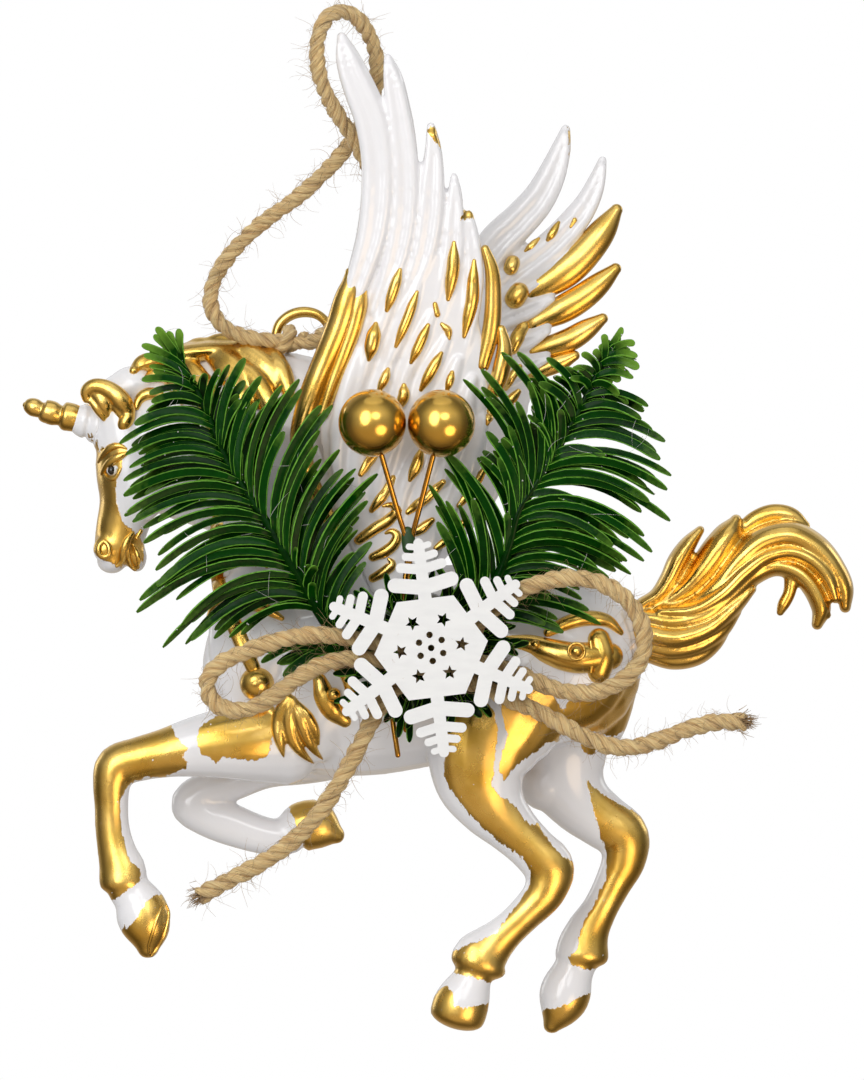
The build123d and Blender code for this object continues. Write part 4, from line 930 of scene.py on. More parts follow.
def face(tree):
    """Brows, lids, nostrils, lips and eyes on both sides of the skull, and the near foreleg's hoof rim."""
    gold, whites, pupils = [], [], []
    for near in (True, False):
        gold += [trim(rows, tree, stand, near) for stand, rows in FACE_TRIM]
        x, y, z, _ = lay([(113.5, 470.5, 1)], tree, 0, near)[0]
        side = -1 if near else 1
        whites.append(ball_shape((x, y + side * -0.55, z), (1.15, 1.15, 0.95)))
        whites.append(ball_shape((x + 0.62, y + side * -0.5, z + 0.5), (0.8, 1.05, 0.62)))
        pupils.append(ball_shape((x - 0.25, y + side * 0.02, z + 0.02), (0.74, 0.72, 0.8)))
    make("face_trim", gold, "gold")
    make("hoof_rim", [trim(HOOF_RIM, tree, 0.0)], "gold")
    make("eye_whites", whites, "white")
    make("eye_pupils", pupils, "black", ("near_eye", "far_eye"))


def horn():
    """Spiral horn: three gold beads and two white turns."""
    rows_gold = [(24, 404.4, 0, 0.4), (25, 404.7, 0, 0.78), (27, 405.2, 0, 1.16), (30, 406, 0, 1.46),
                 (34.5, 407.5, 0, 1.62), (39, 409.3, 0, 1.48), (41, 410, 0, 1.42), (43.5, 411, 0, 1.85),
                 (49, 412, 0, 2.1), (55, 414, 0, 2.05), (58.5, 415, 0, 1.85), (60.5, 415.5, 0, 1.8),
                 (63, 416, 0, 2.3), (70, 417, 0, 2.5), (77, 419, 0, 2.35)]
    make("horn_gold", [tube(rows_at(rows_gold), 0.15, 24, (0.5, 0.4))], "gold", ("horn",))
    rows_white = [(76, 419, 0, 2.35), (80, 420, 0, 2.75), (85, 421, 0, 3.0), (89.5, 422, 0, 2.7),
                  (93, 423, 0, 3.3), (99, 424, 0, 3.6), (104, 426, 0, 3.3), (112, 427, 0, 3.4)]
    white = make("horn_root", [tube(rows_at(rows_white), 0.3, 24)], "painted")
    paint(white, [[(89, 430), (92, 436), (94, 441), (91, 440), (88, 433)]], [])


# Rows of pixel, share of the ear's depth and half size
EAR_DEPTH = 4.6
EAR = (
    ((87, 399, 1.0, 0.8), (86.5, 392, 1.04, 1.1), (93, 386.5, 1.1, 1.3), (103, 387, 1.16, 1.45),
     (113, 392, 1.2, 1.6), (123, 402, 1.2, 1.75), (129, 411, 1.16, 1.3)),
    ((88, 398, 1.0, 0.5), (93, 402, 1.04, 0.8), (99, 410, 1.06, 0.9), (104, 419, 1.02, 0.5)),
    ((94, 392, 1.04, 0.9), (101, 398, 1.06, 1.4), (106, 407, 1.06, 1.3), (108, 415, 1.02, 0.6)),
    ((131, 406, 1.16, 0.5), (129, 416, 1.2, 1.25), (124, 425, 1.2, 1.25), (120, 431, 1.15, 0.6)),
    ((112, 398, 1.1, 0.9), (117, 406, 1.14, 1.1), (121, 415, 1.12, 0.8)),
)


def ears():
    """Folded ear on each side, with its inner fold and the leaf below."""
    shapes = []
    for y in (-EAR_DEPTH, EAR_DEPTH):
        for k, rows in enumerate(EAR):
            shapes.append(tube([(*at(px, py, y * share), half) for px, py, share, half in rows], 0.4,
                               12 if k else 14))
    make("ears", shapes, "gold", ("near_ear", "far_ear"), voxel=0.22, rounds=3)


MANE_LOCKS = (
    ((134, 371, 0.9), (141, 363, 1.3), (150, 360, 1.4), (160, 362, 1.3), (170, 370, 0.8)),
    ((137, 407, 0.7), (140, 399, 1.0), (148, 394, 1.2), (158, 395, 1.1), (166, 403, 0.7)),
    ((148, 378, 0.8), (156, 374, 1.2), (166, 377, 1.3), (176, 388, 1.2), (182, 402, 0.7)),
    ((186, 353, 1.5), (198, 349, 2.1), (212, 352, 2.3), (228, 362, 2.3), (242, 378, 2.0), (250, 394, 1.2)),
    ((206, 346, 1.4), (220, 344, 2.0), (238, 348, 2.3), (256, 358, 2.3), (270, 370, 2.0), (279, 384, 1.2)),
    ((262, 352, 1.2), (272, 357, 1.7), (280, 368, 1.9), (286, 382, 1.7), (290, 398, 1.0)),
    ((176, 358, 1.2), (184, 364, 1.9), (196, 376, 2.1), (208, 394, 2.0), (214, 412, 1.2)),
    ((212, 360, 1.0), (224, 370, 1.8), (236, 386, 2.0), (244, 404, 1.9), (246, 424, 1.1)),
    ((236, 362, 1.0), (250, 374, 1.8), (262, 390, 2.0), (270, 410, 1.8), (271, 430, 1.0)),
    ((190, 372, 1.0), (202, 392, 1.8), (212, 414, 1.9), (216, 440, 1.0)),
)


def mane(tree):
    """Forelock curls and mane locks that hug both sides of the neck and meet over its crest."""
    shapes = [trim(rows, tree, 0.1 + 0.25 * (k % 3), near, 0.6, 14)
              for near in (True, False) for k, rows in enumerate(MANE_LOCKS)]
    crest = tube(rows_at([(140, 366, 0, 1.2, 3.2), (165, 358, 0, 1.8, 4.4), (200, 352, 0, 2.0, 5.0),
                          (240, 351, 0, 2.0, 5.2), (272, 357, 0, 1.6, 4.6), (288, 366, 0, 0.9, 3.0)]), 0.8,
                 16)
    make("mane_locks", shapes + [crest], "gold", ("mane",), voxel=0.38, rounds=3)


# Depth of a lock, the share of its half size and the surplus that make its half size across, then its rows
TAIL_LOCKS = (
    (-1.0, 1.35, 0.9,
     ((642, 604, 1.4), (656, 596, 1.6), (668, 580, 1.9), (678, 560, 2.1), (689, 543, 1.7), (700, 530, 0.9))),
    (0.8, 1.35, 0.9,
     ((644, 606, 1.6), (664, 602, 2.0), (686, 588, 2.6), (705, 567, 3.2), (720, 546, 3.2), (732, 528, 2.3),
      (736, 520, 1.2))),
    (2.4, 0.8, 0.2, ((742, 530, 1.6), (756, 520, 2.0), (774, 514, 2.1), (792, 517, 1.9), (805, 526, 1.1))),
    (0.0, 1.35, 0.9,
     ((650, 606, 1.5), (690, 606, 2.0), (716, 588, 2.5), (740, 560, 2.9), (764, 541, 3.1), (790, 536, 3.1),
      (814, 547, 2.9), (833, 568, 2.5), (844, 590, 2.0), (845, 607, 1.2))),
    (-1.6, 1.35, 0.9,
     ((660, 612, 1.4), (694, 610, 1.9), (722, 594, 2.1), (745, 572, 2.1), (768, 556, 2.0), (792, 552, 1.9),
      (813, 561, 1.9), (829, 580, 1.7), (835, 598, 1.1))),
    (-0.4, 1.35, 0.9,
     ((640, 616, 2.2), (676, 622, 2.6), (706, 614, 2.6), (731, 594, 2.4), (753, 575, 2.2), (776, 566, 2.1),
      (799, 573, 2.2), (815, 592, 2.2), (821, 610, 2.0), (817, 624, 1.2))),
    (-1.2, 1.35, 0.9, ((640, 632, 2.6), (676, 638, 2.7), (708, 628, 2.3), (734, 607, 1.7), (752, 589, 0.9))),
    (-0.4, 1.35, 0.9, ((642, 644, 2.2), (672, 650, 2.3), (702, 644, 2.0), (724, 629, 1.4), (738, 612, 0.7))),
    (0.8, 1.35, 0.9, ((646, 652, 2.0), (674, 660, 2.0), (700, 655, 1.8), (716, 643, 1.4), (728, 627, 0.8))),
    (-1.2, 1.0, 0.1, ((790, 562, 1.5), (791, 578, 1.5), (789, 593, 1.3), (782, 607, 1.15), (780, 612, 0.8))),
    (-1.6, 1.0, 0.2, ((812, 590, 1.2), (822, 605, 1.3), (827, 615, 0.8))),
)


def tail():
    """Locks of the tail that part, curl and end in hooks."""
    shapes = []
    for y, fat, base, rows in TAIL_LOCKS:
        placed = [(*at(px, py, y), half * 0.86, half * fat + base) for px, py, half in rows]
        shapes.append(tube(placed, 0.6, 20))
    make("tail_locks", shapes, "gold", ("tail",), voxel=0.27, rounds=2)


def wing_plane(side, z):
    """Depth of the middle of a wing at a height."""
    return side * (WING_Y + LEAN * (z - WING_Z))


def feather(rows, side, out, flat=0.62, base=0.35, step=0.7):
    """Rounded feather in the plane of its wing; out moves it off that plane towards its own side."""
    placed = []
    for px, py, half in rows:
        x, _, z = at(px, py)
        placed.append((x, wing_plane(side, z) + side * out, z, half, half * flat + base))
    return tube(placed, step, 16)


def both_faces(rows, side):
    """A short feather on each face of a wing."""
    return [feather(rows, side, 1.0, 0.75, 0.2), feather(rows, side, -0.9, 0.6, 0.2)]


def ridges(rows, side, spread, slant, drop, outs, flat):
    """Two narrow ridges beside the middle of a feather, on each face of its wing."""
    made = []
    for part in (-spread, spread):
        ridge = [(px + part * half * slant[0] / PX, py + part * half * slant[1] / PX + drop, half * 0.5)
                 for px, py, half in rows]
        made += [feather(ridge, side, out, flat) for out in outs]
    return made


NEAR_LONG = (
    ((342, 39, 0.9), (346, 52, 1.75), (351, 66, 2.25), (360, 88, 2.7), (370, 113, 2.85), (377, 152, 2.8),
     (377, 195, 2.8), (371, 236, 2.6), (361, 268, 2.2), (350, 300, 1.8)),
    ((388, 60, 0.8), (392, 74, 1.5), (398, 106, 2.1), (404, 152, 2.4), (404, 205, 2.4), (399, 240, 2.3),
     (390, 272, 2.0), (378, 305, 1.7)),
    ((431, 128, 0.8), (433, 147, 1.4), (432, 182, 2.2), (430, 210, 2.4), (425, 242, 2.3), (414, 276, 2.0),
     (402, 306, 1.7)),
    ((454, 178, 0.7), (455, 195, 1.25), (454, 216, 1.7), (452, 250, 2.05), (444, 288, 2.0), (434, 322, 1.8),
     (424, 350, 1.5)),
    ((469, 215, 0.7), (472, 234, 1.15), (474, 264, 1.65), (470, 300, 1.9), (461, 340, 1.9), (450, 375, 1.7),
     (438, 405, 1.4)),
)
NEAR_SHORT = (
    ((401, 262, 1.0), (394, 285, 1.5), (386, 312, 1.5), (377, 340, 1.2)),
    ((419, 282, 1.0), (408, 312, 1.6), (396, 346, 1.6), (384, 372, 1.2)),
    ((379, 316, 1.0), (372, 342, 1.6), (364, 368, 1.5), (355, 395, 1.2)),
    ((432, 314, 1.0), (420, 342, 1.6), (408, 370, 1.6), (396, 400, 1.2)),
    ((446, 340, 1.0), (432, 368, 1.7), (418, 396, 1.6), (404, 424, 1.2)),
    ((458, 360, 1.0), (449, 384, 1.7), (438, 412, 1.6), (426, 440, 1.2)),
    ((392, 360, 1.0), (383, 382, 1.6), (372, 408, 1.5), (362, 432, 1.1)),
    ((409, 374, 1.0), (402, 396, 1.6), (392, 424, 1.5), (382, 450, 1.1)),
    ((360, 350, 1.0), (352, 375, 1.6), (343, 405, 1.5), (335, 435, 1.1)),
    ((350, 392, 1.0), (342, 420, 1.6), (338, 452, 1.5), (340, 480, 1.1)),
    ((372, 420, 1.0), (362, 446, 1.6), (357, 474, 1.5), (360, 500, 1.1)),
    ((398, 436, 1.0), (386, 462, 1.6), (378, 490, 1.5), (378, 515, 1.1)),
    ((428, 440, 1.0), (414, 466, 1.7), (402, 494, 1.5), (398, 520, 1.1)),
    ((452, 410, 1.0), (442, 440, 1.7), (430, 470, 1.6), (418, 500, 1.2)),
    ((472, 380, 1.0), (464, 412, 1.7), (454, 446, 1.7), (442, 480, 1.3)),
    ((484, 420, 1.0), (476, 450, 1.7), (464, 482, 1.6), (450, 512, 1.2)),
)
NEAR_GOLD = (
    ((485, 250, 0.75), (491, 268, 1.2), (493, 300, 1.45), (490, 335, 1.55), (482, 366, 1.3)),
    ((501, 330, 0.8), (504, 346, 1.3), (501, 370, 1.6), (494, 392, 1.3)),
)
NEAR_LENSES = (
    ((400, 271, 0.45), (394, 290, 1.09), (387, 311, 0.45)),
    ((417, 293, 0.38), (408, 318, 1.02), (396, 347, 0.38)),
    ((376, 325, 0.52), (373, 341, 1.47), (369, 360, 0.45)),
    ((428, 326, 0.45), (420, 344, 1.02), (411, 363, 0.38)), ((435, 305, 0.45), (437, 315, 0.6)),
    ((442, 325, 0.45), (448, 331, 0.77), (449, 339, 0.38)),
    ((454, 244, 0.45), (453, 270, 1.28), (448, 300, 0.45)),
    ((474, 262, 0.45), (472, 300, 1.34), (464, 337, 0.45)),
    ((441, 354, 0.45), (432, 370, 1.09), (421, 390, 0.45)),
    ((452, 373, 0.45), (450, 381, 0.83), (447, 390, 0.45)),
    ((388, 370, 0.45), (385, 379, 0.96), (379, 391, 0.45)),
    ((404, 386, 0.52), (404, 396, 1.15), (399, 409, 0.45)),
    ((421, 451, 0.52), (417, 465, 1.15), (410, 480, 0.45)),
    ((376, 455, 0.64), (368, 462, 1.09), (361, 474, 0.64)),
    ((393, 478, 0.6), (384, 494, 1.09), (372, 510, 0.64)),
    ((443, 482, 0.6), (426, 498, 1.09), (408, 512, 0.64)),
    ((432, 520, 0.6), (421, 529, 1.02), (411, 534, 0.64)),
    ((484, 470, 0.6), (471, 490, 1.09), (459, 505, 0.64)),
    ((518, 392, 0.6), (511, 400, 1.02), (504, 409, 0.64)),
    ((490, 408, 0.45), (489, 416, 0.77), (487, 424, 0.45)),
    ((383, 506, 0.3), (391, 505, 0.6), (397, 510, 0.9), (391, 518, 1.05), (376, 528, 1.1), (359, 540, 0.9)),
    ((386, 533, 0.3), (392, 531, 0.6), (397, 536, 0.9), (394, 544, 1.0), (386, 551, 1.05), (373, 557, 0.8)),
    ((389, 559, 0.35), (392, 563, 0.8), (385, 571, 0.95), (373, 578, 0.8)),
    ((466, 520, 0.6), (452, 536, 1.02), (436, 548, 0.64)),
)
NEAR_BAND = (
    ((350, 273, 0.8), (351, 285, 1.8), (347, 302, 2.35), (340, 326, 2.4), (328, 356, 2.3), (316, 386, 2.3),
     (307, 413, 2.25), (302, 440, 2.1), (305, 466, 1.7), (316, 491, 1.4), (328, 516, 1.3), (339, 542, 1.2)),
    ((362, 290, 1.0), (359, 304, 1.6), (355, 322, 1.6), (345, 352, 1.5), (333, 384, 1.4), (323, 414, 1.1)),
)
FAR_WHITE = (
    ((566, 128, 0.9), (562, 145, 1.7), (553, 170, 2.4), (540, 194, 2.7), (520, 217, 2.9), (495, 242, 3.1),
     (478, 270, 2.8)),
    ((603, 159, 0.8), (598, 177, 1.5), (588, 199, 1.95), (571, 222, 2.3), (548, 245, 2.4), (520, 266, 2.4),
     (498, 285, 2.0)), ((592, 236, 0.8), (572, 252, 1.3), (548, 268, 1.6), (520, 284, 1.8), (500, 300, 1.6)),
    ((552, 292, 0.9), (532, 303, 1.6), (512, 312, 1.8), (496, 320, 1.5)),
    ((548, 324, 0.9), (528, 336, 1.5), (508, 344, 1.6), (492, 352, 1.4)),
    ((548, 352, 0.8), (526, 362, 1.4), (506, 372, 1.5), (490, 384, 1.3)),
)
FAR_GOLD = (
    ((617, 209, 1.1), (606, 226, 2.2), (588, 249, 2.81), (566, 270, 2.99), (546, 283, 2.56), (531, 291, 2.1)),
    ((616, 268, 1.04), (602, 281, 1.95), (582, 297, 2.44), (560, 310, 2.44), (544, 318, 1.95),
     (533, 324, 1.8)),
    ((603, 318, 0.98), (588, 328, 1.83), (570, 339, 2.13), (550, 346, 1.89), (533, 352, 1.6)),
    ((575, 355, 0.92), (560, 362, 1.59), (546, 368, 1.52), (534, 373, 1.3)),
)
FAR_LENSES = (
    ((511, 267, 1.35), (513, 262, 1.35)), ((515, 298, 1.85), (519, 292, 1.85)),
    ((513, 348, 1.2), (518, 336, 1.45), (524, 326, 1.25)),
    ((526, 250, 0.35), (532, 245, 0.75), (539, 238, 0.35)),
    ((548, 239, 0.4), (553, 232, 0.8), (559, 222, 0.4)), ((571, 226, 0.25), (575, 219, 0.45)),
    ((520, 366, 0.5), (512, 376, 0.9), (506, 388, 0.5)),
)


def fuller(rows):
    """Rows of a lens with full sides between its ends."""
    if len(rows) != 3:
        return rows
    full = [rows[0]]
    for a, b in zip(rows, rows[1:]):
        full += [((a[0] + b[0]) / 2, (a[1] + b[1]) / 2, 0.9 * max(a[2], b[2])), b]
    return [(px, py, half * 0.92) for px, py, half in full]


NEAR_WEB = (
    (392, 590, 4.0), (396, 545, 8.5), (398, 480, 12.5), (402, 420, 14.8), (412, 360, 13.6), (418, 300, 10.0),
    (420, 255, 7.0),
)
FAR_WEB = (
    (412, 560, 5.0), (420, 520, 9.0), (438, 470, 12.0), (455, 420, 12.5), (470, 370, 11.5), (484, 320, 9.8),
    (500, 270, 7.0),
)
# Outlines of the paint on feather tips
NEAR_TIPS = [[(460, 222), (465, 208), (474, 209), (478, 222), (471, 219)],
                 [(426, 132), (431, 127), (437, 133), (441, 150), (437, 146)]]
FAR_TIPS = [[(569, 124), (574, 130), (575, 150), (567, 182), (570, 150)]]


def wing(name, side, shapes, tips, gold, lenses, stand):
    """Melted white skin of a wing with painted tips, its gold feathers, and lenses laid on both its faces."""
    skin_piece = make(name + "_skin", shapes, "painted", (name,), voxel=0.36, rounds=4)
    paint(skin_piece, tips, tips)
    tree = surface(skin_piece)
    for near in (True, False):
        gold += [trim(fuller(rows), tree, stand, near, 0.3, 14, side * WING_Y) for rows in lenses]
    make(name + "_gold", gold, "gold")


def wings():
    """Both wings: a web with long feathers over it and rows of short ones at their roots."""
    shapes = [feather(NEAR_WEB, -1, 0, 0.0, 1.5, 1.2)]
    for k, rows in enumerate(NEAR_LONG):
        outs = (1.0 - 0.22 * k, -0.9 - 0.1 * k)
        shapes += [feather(rows, -1, 0.2 - 0.22 * k)] + ridges(rows, -1, 0.52, (1.0, 0.0), 6.24, outs, 0.9)
    for rows in NEAR_SHORT:
        shapes += both_faces(rows, -1)
    gold = [feather(rows, -1, -0.1) for rows in NEAR_GOLD]
    gold += [feather(NEAR_BAND[0], -1, 0.25, 0.85, 0.3), feather(NEAR_BAND[1], -1, 0.9, 0.8, 0.2)]
    wing("near_wing", -1, shapes, NEAR_TIPS, gold, NEAR_LENSES, -0.1)

    shapes = [feather(FAR_WEB, 1, 0, 0.0, 1.5, 1.2)]
    for rows in NEAR_SHORT:
        shapes += both_faces([(412 + (px - 402) * 0.78, py + 18, half) for px, py, half in rows], 1)
    for k, rows in enumerate(FAR_WHITE):
        outs = (0.9 - 0.15 * k, -0.7 - 0.15 * k)
        shapes += [feather(rows, 1, 0.3 - 0.2 * k)] + ridges(rows, 1, 0.5, (0.7, 0.7), 5, outs, 0.8)
    wing("far_wing", 1, shapes, FAR_TIPS, [feather(rows, 1, 0.0, 0.7) for rows in FAR_GOLD], FAR_LENSES, 0.0)


def hanging_eye():
    """Moulded arch on the crest of the neck."""
    rows = [(273, 356, 0, 0.85), (275, 340, 0, 0.85), (280, 324, 0, 0.9), (291, 315, 0, 0.95),
            (305, 312, 0, 0.95), (318, 315, 0, 0.85), (326, 322, 0, 0.8), (330, 334, 0, 0.8),
            (330, 352, 0, 0.8)]
    make("hanging_arch", [tube(rows_at(rows), 0.4, 16)], "gold", ("hanging_eye",))


# How far each strand of relief stands off the flank, then its rows
COLLAR = (
    (0.1,
     ((221, 512, 1.4, 0.8), (220, 540, 1.9, 0.9), (221, 572, 1.9, 0.9), (225, 598, 1.7, 0.9),
      (234, 622, 1.5, 0.8), (246, 650, 1.4, 0.8), (254, 668, 1.3, 0.8))),
    (0.1,
     ((210, 620, 0.8), (218, 606, 1.2), (236, 600, 1.4), (256, 604, 1.3), (272, 612, 0.9), (282, 618, 0.5))),
    (0.05, ((246, 560, 0.4), (252, 556, 0.6), (256, 564, 0.6), (261, 558, 0.6), (267, 566, 0.4))),
    (-0.9, ((320, 680, 1.6), (325, 696, 2.2), (333, 709, 2.2), (345, 719, 1.5))),
    (0.05, ((330, 660, 0.8), (345, 672, 1.2), (352, 690, 1.2), (350, 710, 0.8))),
)
RUMP_STRAP = (
    (-0.9,
     ((508, 641, 1.3), (530, 645, 2.0), (552, 652, 2.6), (572, 657, 2.9), (590, 657, 2.9), (608, 656, 2.6))),
    (1.3, ((590, 641, 0.3), (592, 656, 0.45), (590, 672, 0.3))),
    (-0.5, ((598, 640, 2.2), (601, 656, 2.6), (598, 671, 2.2))),
)
SADDLE_BAND = ((0.0, ((548, 632, 0.9), (566, 623, 1.3), (590, 618, 1.4), (607, 621, 1.2), (620, 632, 0.6))),)
LEAVES = (
    (0.0, ((289, 698, 1.0), (282, 712, 1.5), (279, 728, 1.4), (281, 744, 0.9), (284, 756, 0.25))),
    (0.1, ((291, 700, 0.9), (290, 722, 1.4), (295, 742, 1.2), (305, 755, 0.7), (314, 763, 0.2))),
    (0.0, ((293, 700, 0.9), (301, 718, 1.3), (307, 736, 1.1), (315, 750, 0.7), (323, 759, 0.2))),
    (0.0, ((297, 703, 0.7), (309, 717, 1.0), (316, 731, 0.8), (319, 744, 0.2))),
)
# Pixel, radius and how far the knob sinks into the flank
KNOBS = ((257.5, 683, 3.1, 0.6), (576, 651, 1.1, -2.2), (535, 644, 0.85, -1.4), (334, 694, 1.25, -0.9))
SOCKET = (576, 651, 1.45, 0.28)


def harness(tree):
    """Straps, studs and leafy relief laid on both flanks."""
    relief = {"collar_relief": (COLLAR, ("near_collar", "far_collar")),
              "rump_straps": (RUMP_STRAP, ("near_rump_strap", "far_rump_strap")),
              "saddle_bands": (SADDLE_BAND, ("near_saddle_band", "far_saddle_band"))}
    for name, (strands, nodes) in relief.items():
        make(name, [trim(rows, tree, stand, near) for near in (True, False) for stand, rows in strands],
             "gold", nodes)
    knobs = []
    for near in (True, False):
        side = -1 if near else 1
        for px, py, radius, sink in KNOBS:
            x, y, z, _ = lay([(px, py, 1)], tree, 0, near)[0]
            knobs.append(ball_shape((x, y - side * sink, z), (radius,) * 3))
        px, py, radius, half = SOCKET
        x, y, z, _ = lay([(px, py, 1)], tree, 0, near)[0]
        turn = [2 * math.pi * k / 16 for k in range(17)]
        knobs.append(tube([(x + radius * math.cos(a), y + side * 1.85, z + radius * math.sin(a), half) for a
                           in turn], 0.3, 8))
    make("knobs", knobs, "gold", ("near_chest_ball", "far_chest_ball"))
    leaves = [trim(rows, tree, stand, near) for near in (True, False) for stand, rows in LEAVES]
    make("flame_leaves", leaves, "gold", voxel=0.25, rounds=2)


skin_piece = body()
skin_tree = surface(skin_piece)
face(skin_tree)
horn()
ears()
mane(skin_tree)
tail()
wings()
hanging_eye()
harness(skin_tree)


# Evergreen sprigs, balls, snowflake and glue

# Cross-section of a needle: across, rise and how near the rim
NEEDLE_SECTION = (
    (-1.0, 0.0, 1.0), (-0.82, 0.2, 1.0), (-0.6, 0.22, 0.2), (0.0, 0.06, 0.0), (0.6, 0.22, 0.2),
    (0.82, 0.2, 1.0), (1.0, 0.0, 1.0), (0.5, -0.2, 0.5), (0.0, -0.26, 0.4), (-0.5, -0.2, 0.5),
)
NEEDLE_STEPS = 12


def needle(base, tip, start_way, y0, y1, width):
    """One flat grooved needle that bends from the stem's way to its tip, with two numbers for each corner."""
    a, b = np.array(at(*base, y0)), np.array(at(*tip, y1))
    length = np.linalg.norm(b - a)
    first = unit(unit(start_way) * 0.62 + unit(b - a) * 0.6)
    c = a + first * length * 0.5
    verts, edge, tip_share = [], [], []
    roll = rng.uniform(-0.75, 0.75)
    for i in range(NEEDLE_STEPS + 1):
        u = 1 - (1 - i / NEEDLE_STEPS) ** 1.6
        p = (1 - u) ** 2 * a + 2 * u * (1 - u) * c + u * u * b
        way = unit(2 * (1 - u) * (c - a) + 2 * u * (b - c))
        side = unit(np.cross(way, (0, -1, 0)))
        face_way = np.cross(side, way)
        tilt = roll * (0.3 + 0.7 * u)
        side, face_way = (side * math.cos(tilt) + face_way * math.sin(tilt),
                          face_way * math.cos(tilt) - side * math.sin(tilt))
        blunt = math.sqrt(max(0.02, 1 - max(0.0, (u - 0.87) / 0.135) ** 2))
        half = width / 2 * min(1.0, 0.55 + 1.9 * u) * blunt
        for across, rise, rim in NEEDLE_SECTION:
            verts.append(tuple(p + side * half * across + face_way * half * rise * 1.25))
            edge.append(rim)
            tip_share.append(u)
    n = len(NEEDLE_SECTION)
    ends = [tuple(range(n))[::-1], tuple(NEEDLE_STEPS * n + k for k in range(n))]
    return (verts, walls(0, NEEDLE_STEPS + 1, n) + ends), edge, tip_share


LEFT_STEM = ((372, 664), (340, 640), (322, 616), (304, 584), (285, 554), (267, 522), (248, 494), (228, 462),
             (211, 421), (190, 376), (168, 338))
# Root and tip of each needle, in pixels
LEFT_NEEDLES = (
    (181, 360, 158, 328), (186, 372, 143, 346), (190, 380, 145, 356), (196, 390, 143, 381),
    (202, 402, 153, 403), (209, 418, 136, 425), (214, 430, 121, 444), (220, 444, 127, 455),
    (225, 456, 131, 468), (231, 468, 125, 481), (238, 480, 125, 496), (246, 492, 126, 516),
    (256, 506, 134, 522), (264, 520, 145, 543), (273, 536, 157, 570), (280, 548, 158, 586),
    (287, 560, 141, 600), (294, 570, 138, 612), (300, 580, 183, 625), (306, 590, 164, 647),
    (312, 600, 192, 640), (318, 610, 230, 637), (183, 362, 170, 332), (186, 366, 182, 331),
    (194, 386, 196, 379), (204, 408, 221, 370), (213, 428, 246, 359), (218, 440, 242, 400),
    (224, 454, 262, 377), (229, 464, 258, 402), (236, 476, 283, 386), (242, 486, 300, 380),
    (248, 494, 302, 390), (254, 503, 285, 432), (258, 508, 322, 406), (264, 518, 333, 406),
    (270, 528, 320, 431), (275, 537, 318, 446), (281, 547, 340, 450), (290, 560, 356, 469),
    (296, 570, 378, 474), (304, 582, 368, 501), (311, 594, 359, 508), (320, 608, 372, 542),
    (324, 616, 364, 547), (330, 622, 366, 562), (286, 574, 297, 547), (300, 588, 317, 566),
    (304, 600, 313, 582), (336, 650, 262, 662), (344, 656, 284, 676), (352, 664, 250, 652),
)
RIGHT_STEM = ((450, 640), (478, 610), (499, 575), (510, 543), (519, 510), (538, 481), (552, 458), (565, 435),
              (578, 412), (590, 388), (606, 355), (619, 333))
RIGHT_NEEDLES = (
    (609, 352, 622, 329), (607, 356, 603, 335), (600, 368, 581, 354), (592, 384, 570, 380),
    (585, 398, 546, 359), (578, 412, 538, 384), (572, 424, 517, 353), (565, 436, 501, 353),
    (558, 448, 527, 416), (552, 458, 538, 423), (546, 468, 481, 370), (540, 478, 463, 380),
    (534, 488, 501, 439), (529, 497, 486, 432), (524, 506, 480, 457), (510, 540, 448, 455),
    (500, 572, 430, 432), (497, 580, 461, 466), (488, 596, 472, 498), (480, 606, 429, 485),
    (484, 602, 446, 501), (478, 610, 455, 529), (470, 618, 447, 546), (504, 556, 506, 513),
    (476, 614, 437, 522), (562, 442, 559, 410), (556, 452, 545, 394), (548, 466, 528, 382),
    (552, 458, 541, 388), (538, 481, 516, 402), (532, 492, 508, 426), (524, 506, 514, 442),
    (519, 515, 498, 458), (515, 530, 509, 470), (466, 622, 434, 562), (610, 352, 634, 344),
    (606, 358, 636, 358), (602, 366, 638, 369), (597, 376, 632, 379), (592, 386, 618, 396),
    (586, 398, 647, 407), (580, 410, 640, 420), (574, 420, 651, 431), (568, 432, 664, 442),
    (562, 442, 659, 460), (556, 452, 604, 457), (550, 462, 670, 476), (545, 470, 666, 490),
    (540, 480, 648, 502), (534, 490, 669, 521), (529, 499, 590, 513), (525, 508, 643, 536),
    (521, 518, 651, 552), (518, 527, 612, 546), (515, 537, 643, 561), (511, 547, 626, 561),
    (508, 556, 630, 574), (504, 566, 608, 578), (500, 576, 598, 588), (494, 588, 581, 599),
    (486, 600, 550, 599), (480, 612, 600, 624), (476, 618, 545, 624), (470, 626, 563, 632),
    (478, 606, 588, 610),
)


CLUSTER = (428, 650)  # pixel about which the low needles start
WIDEST_GAP = 45  # pixels between two tips that still get needles between them
LOW_NEEDLES = 70  # short ones behind the snowflake, darkened with painted shade
STEM_Y, STEM_STEP = -17.4, 0.95  # depth of a stem's root, and how much nearer each of the next four lies


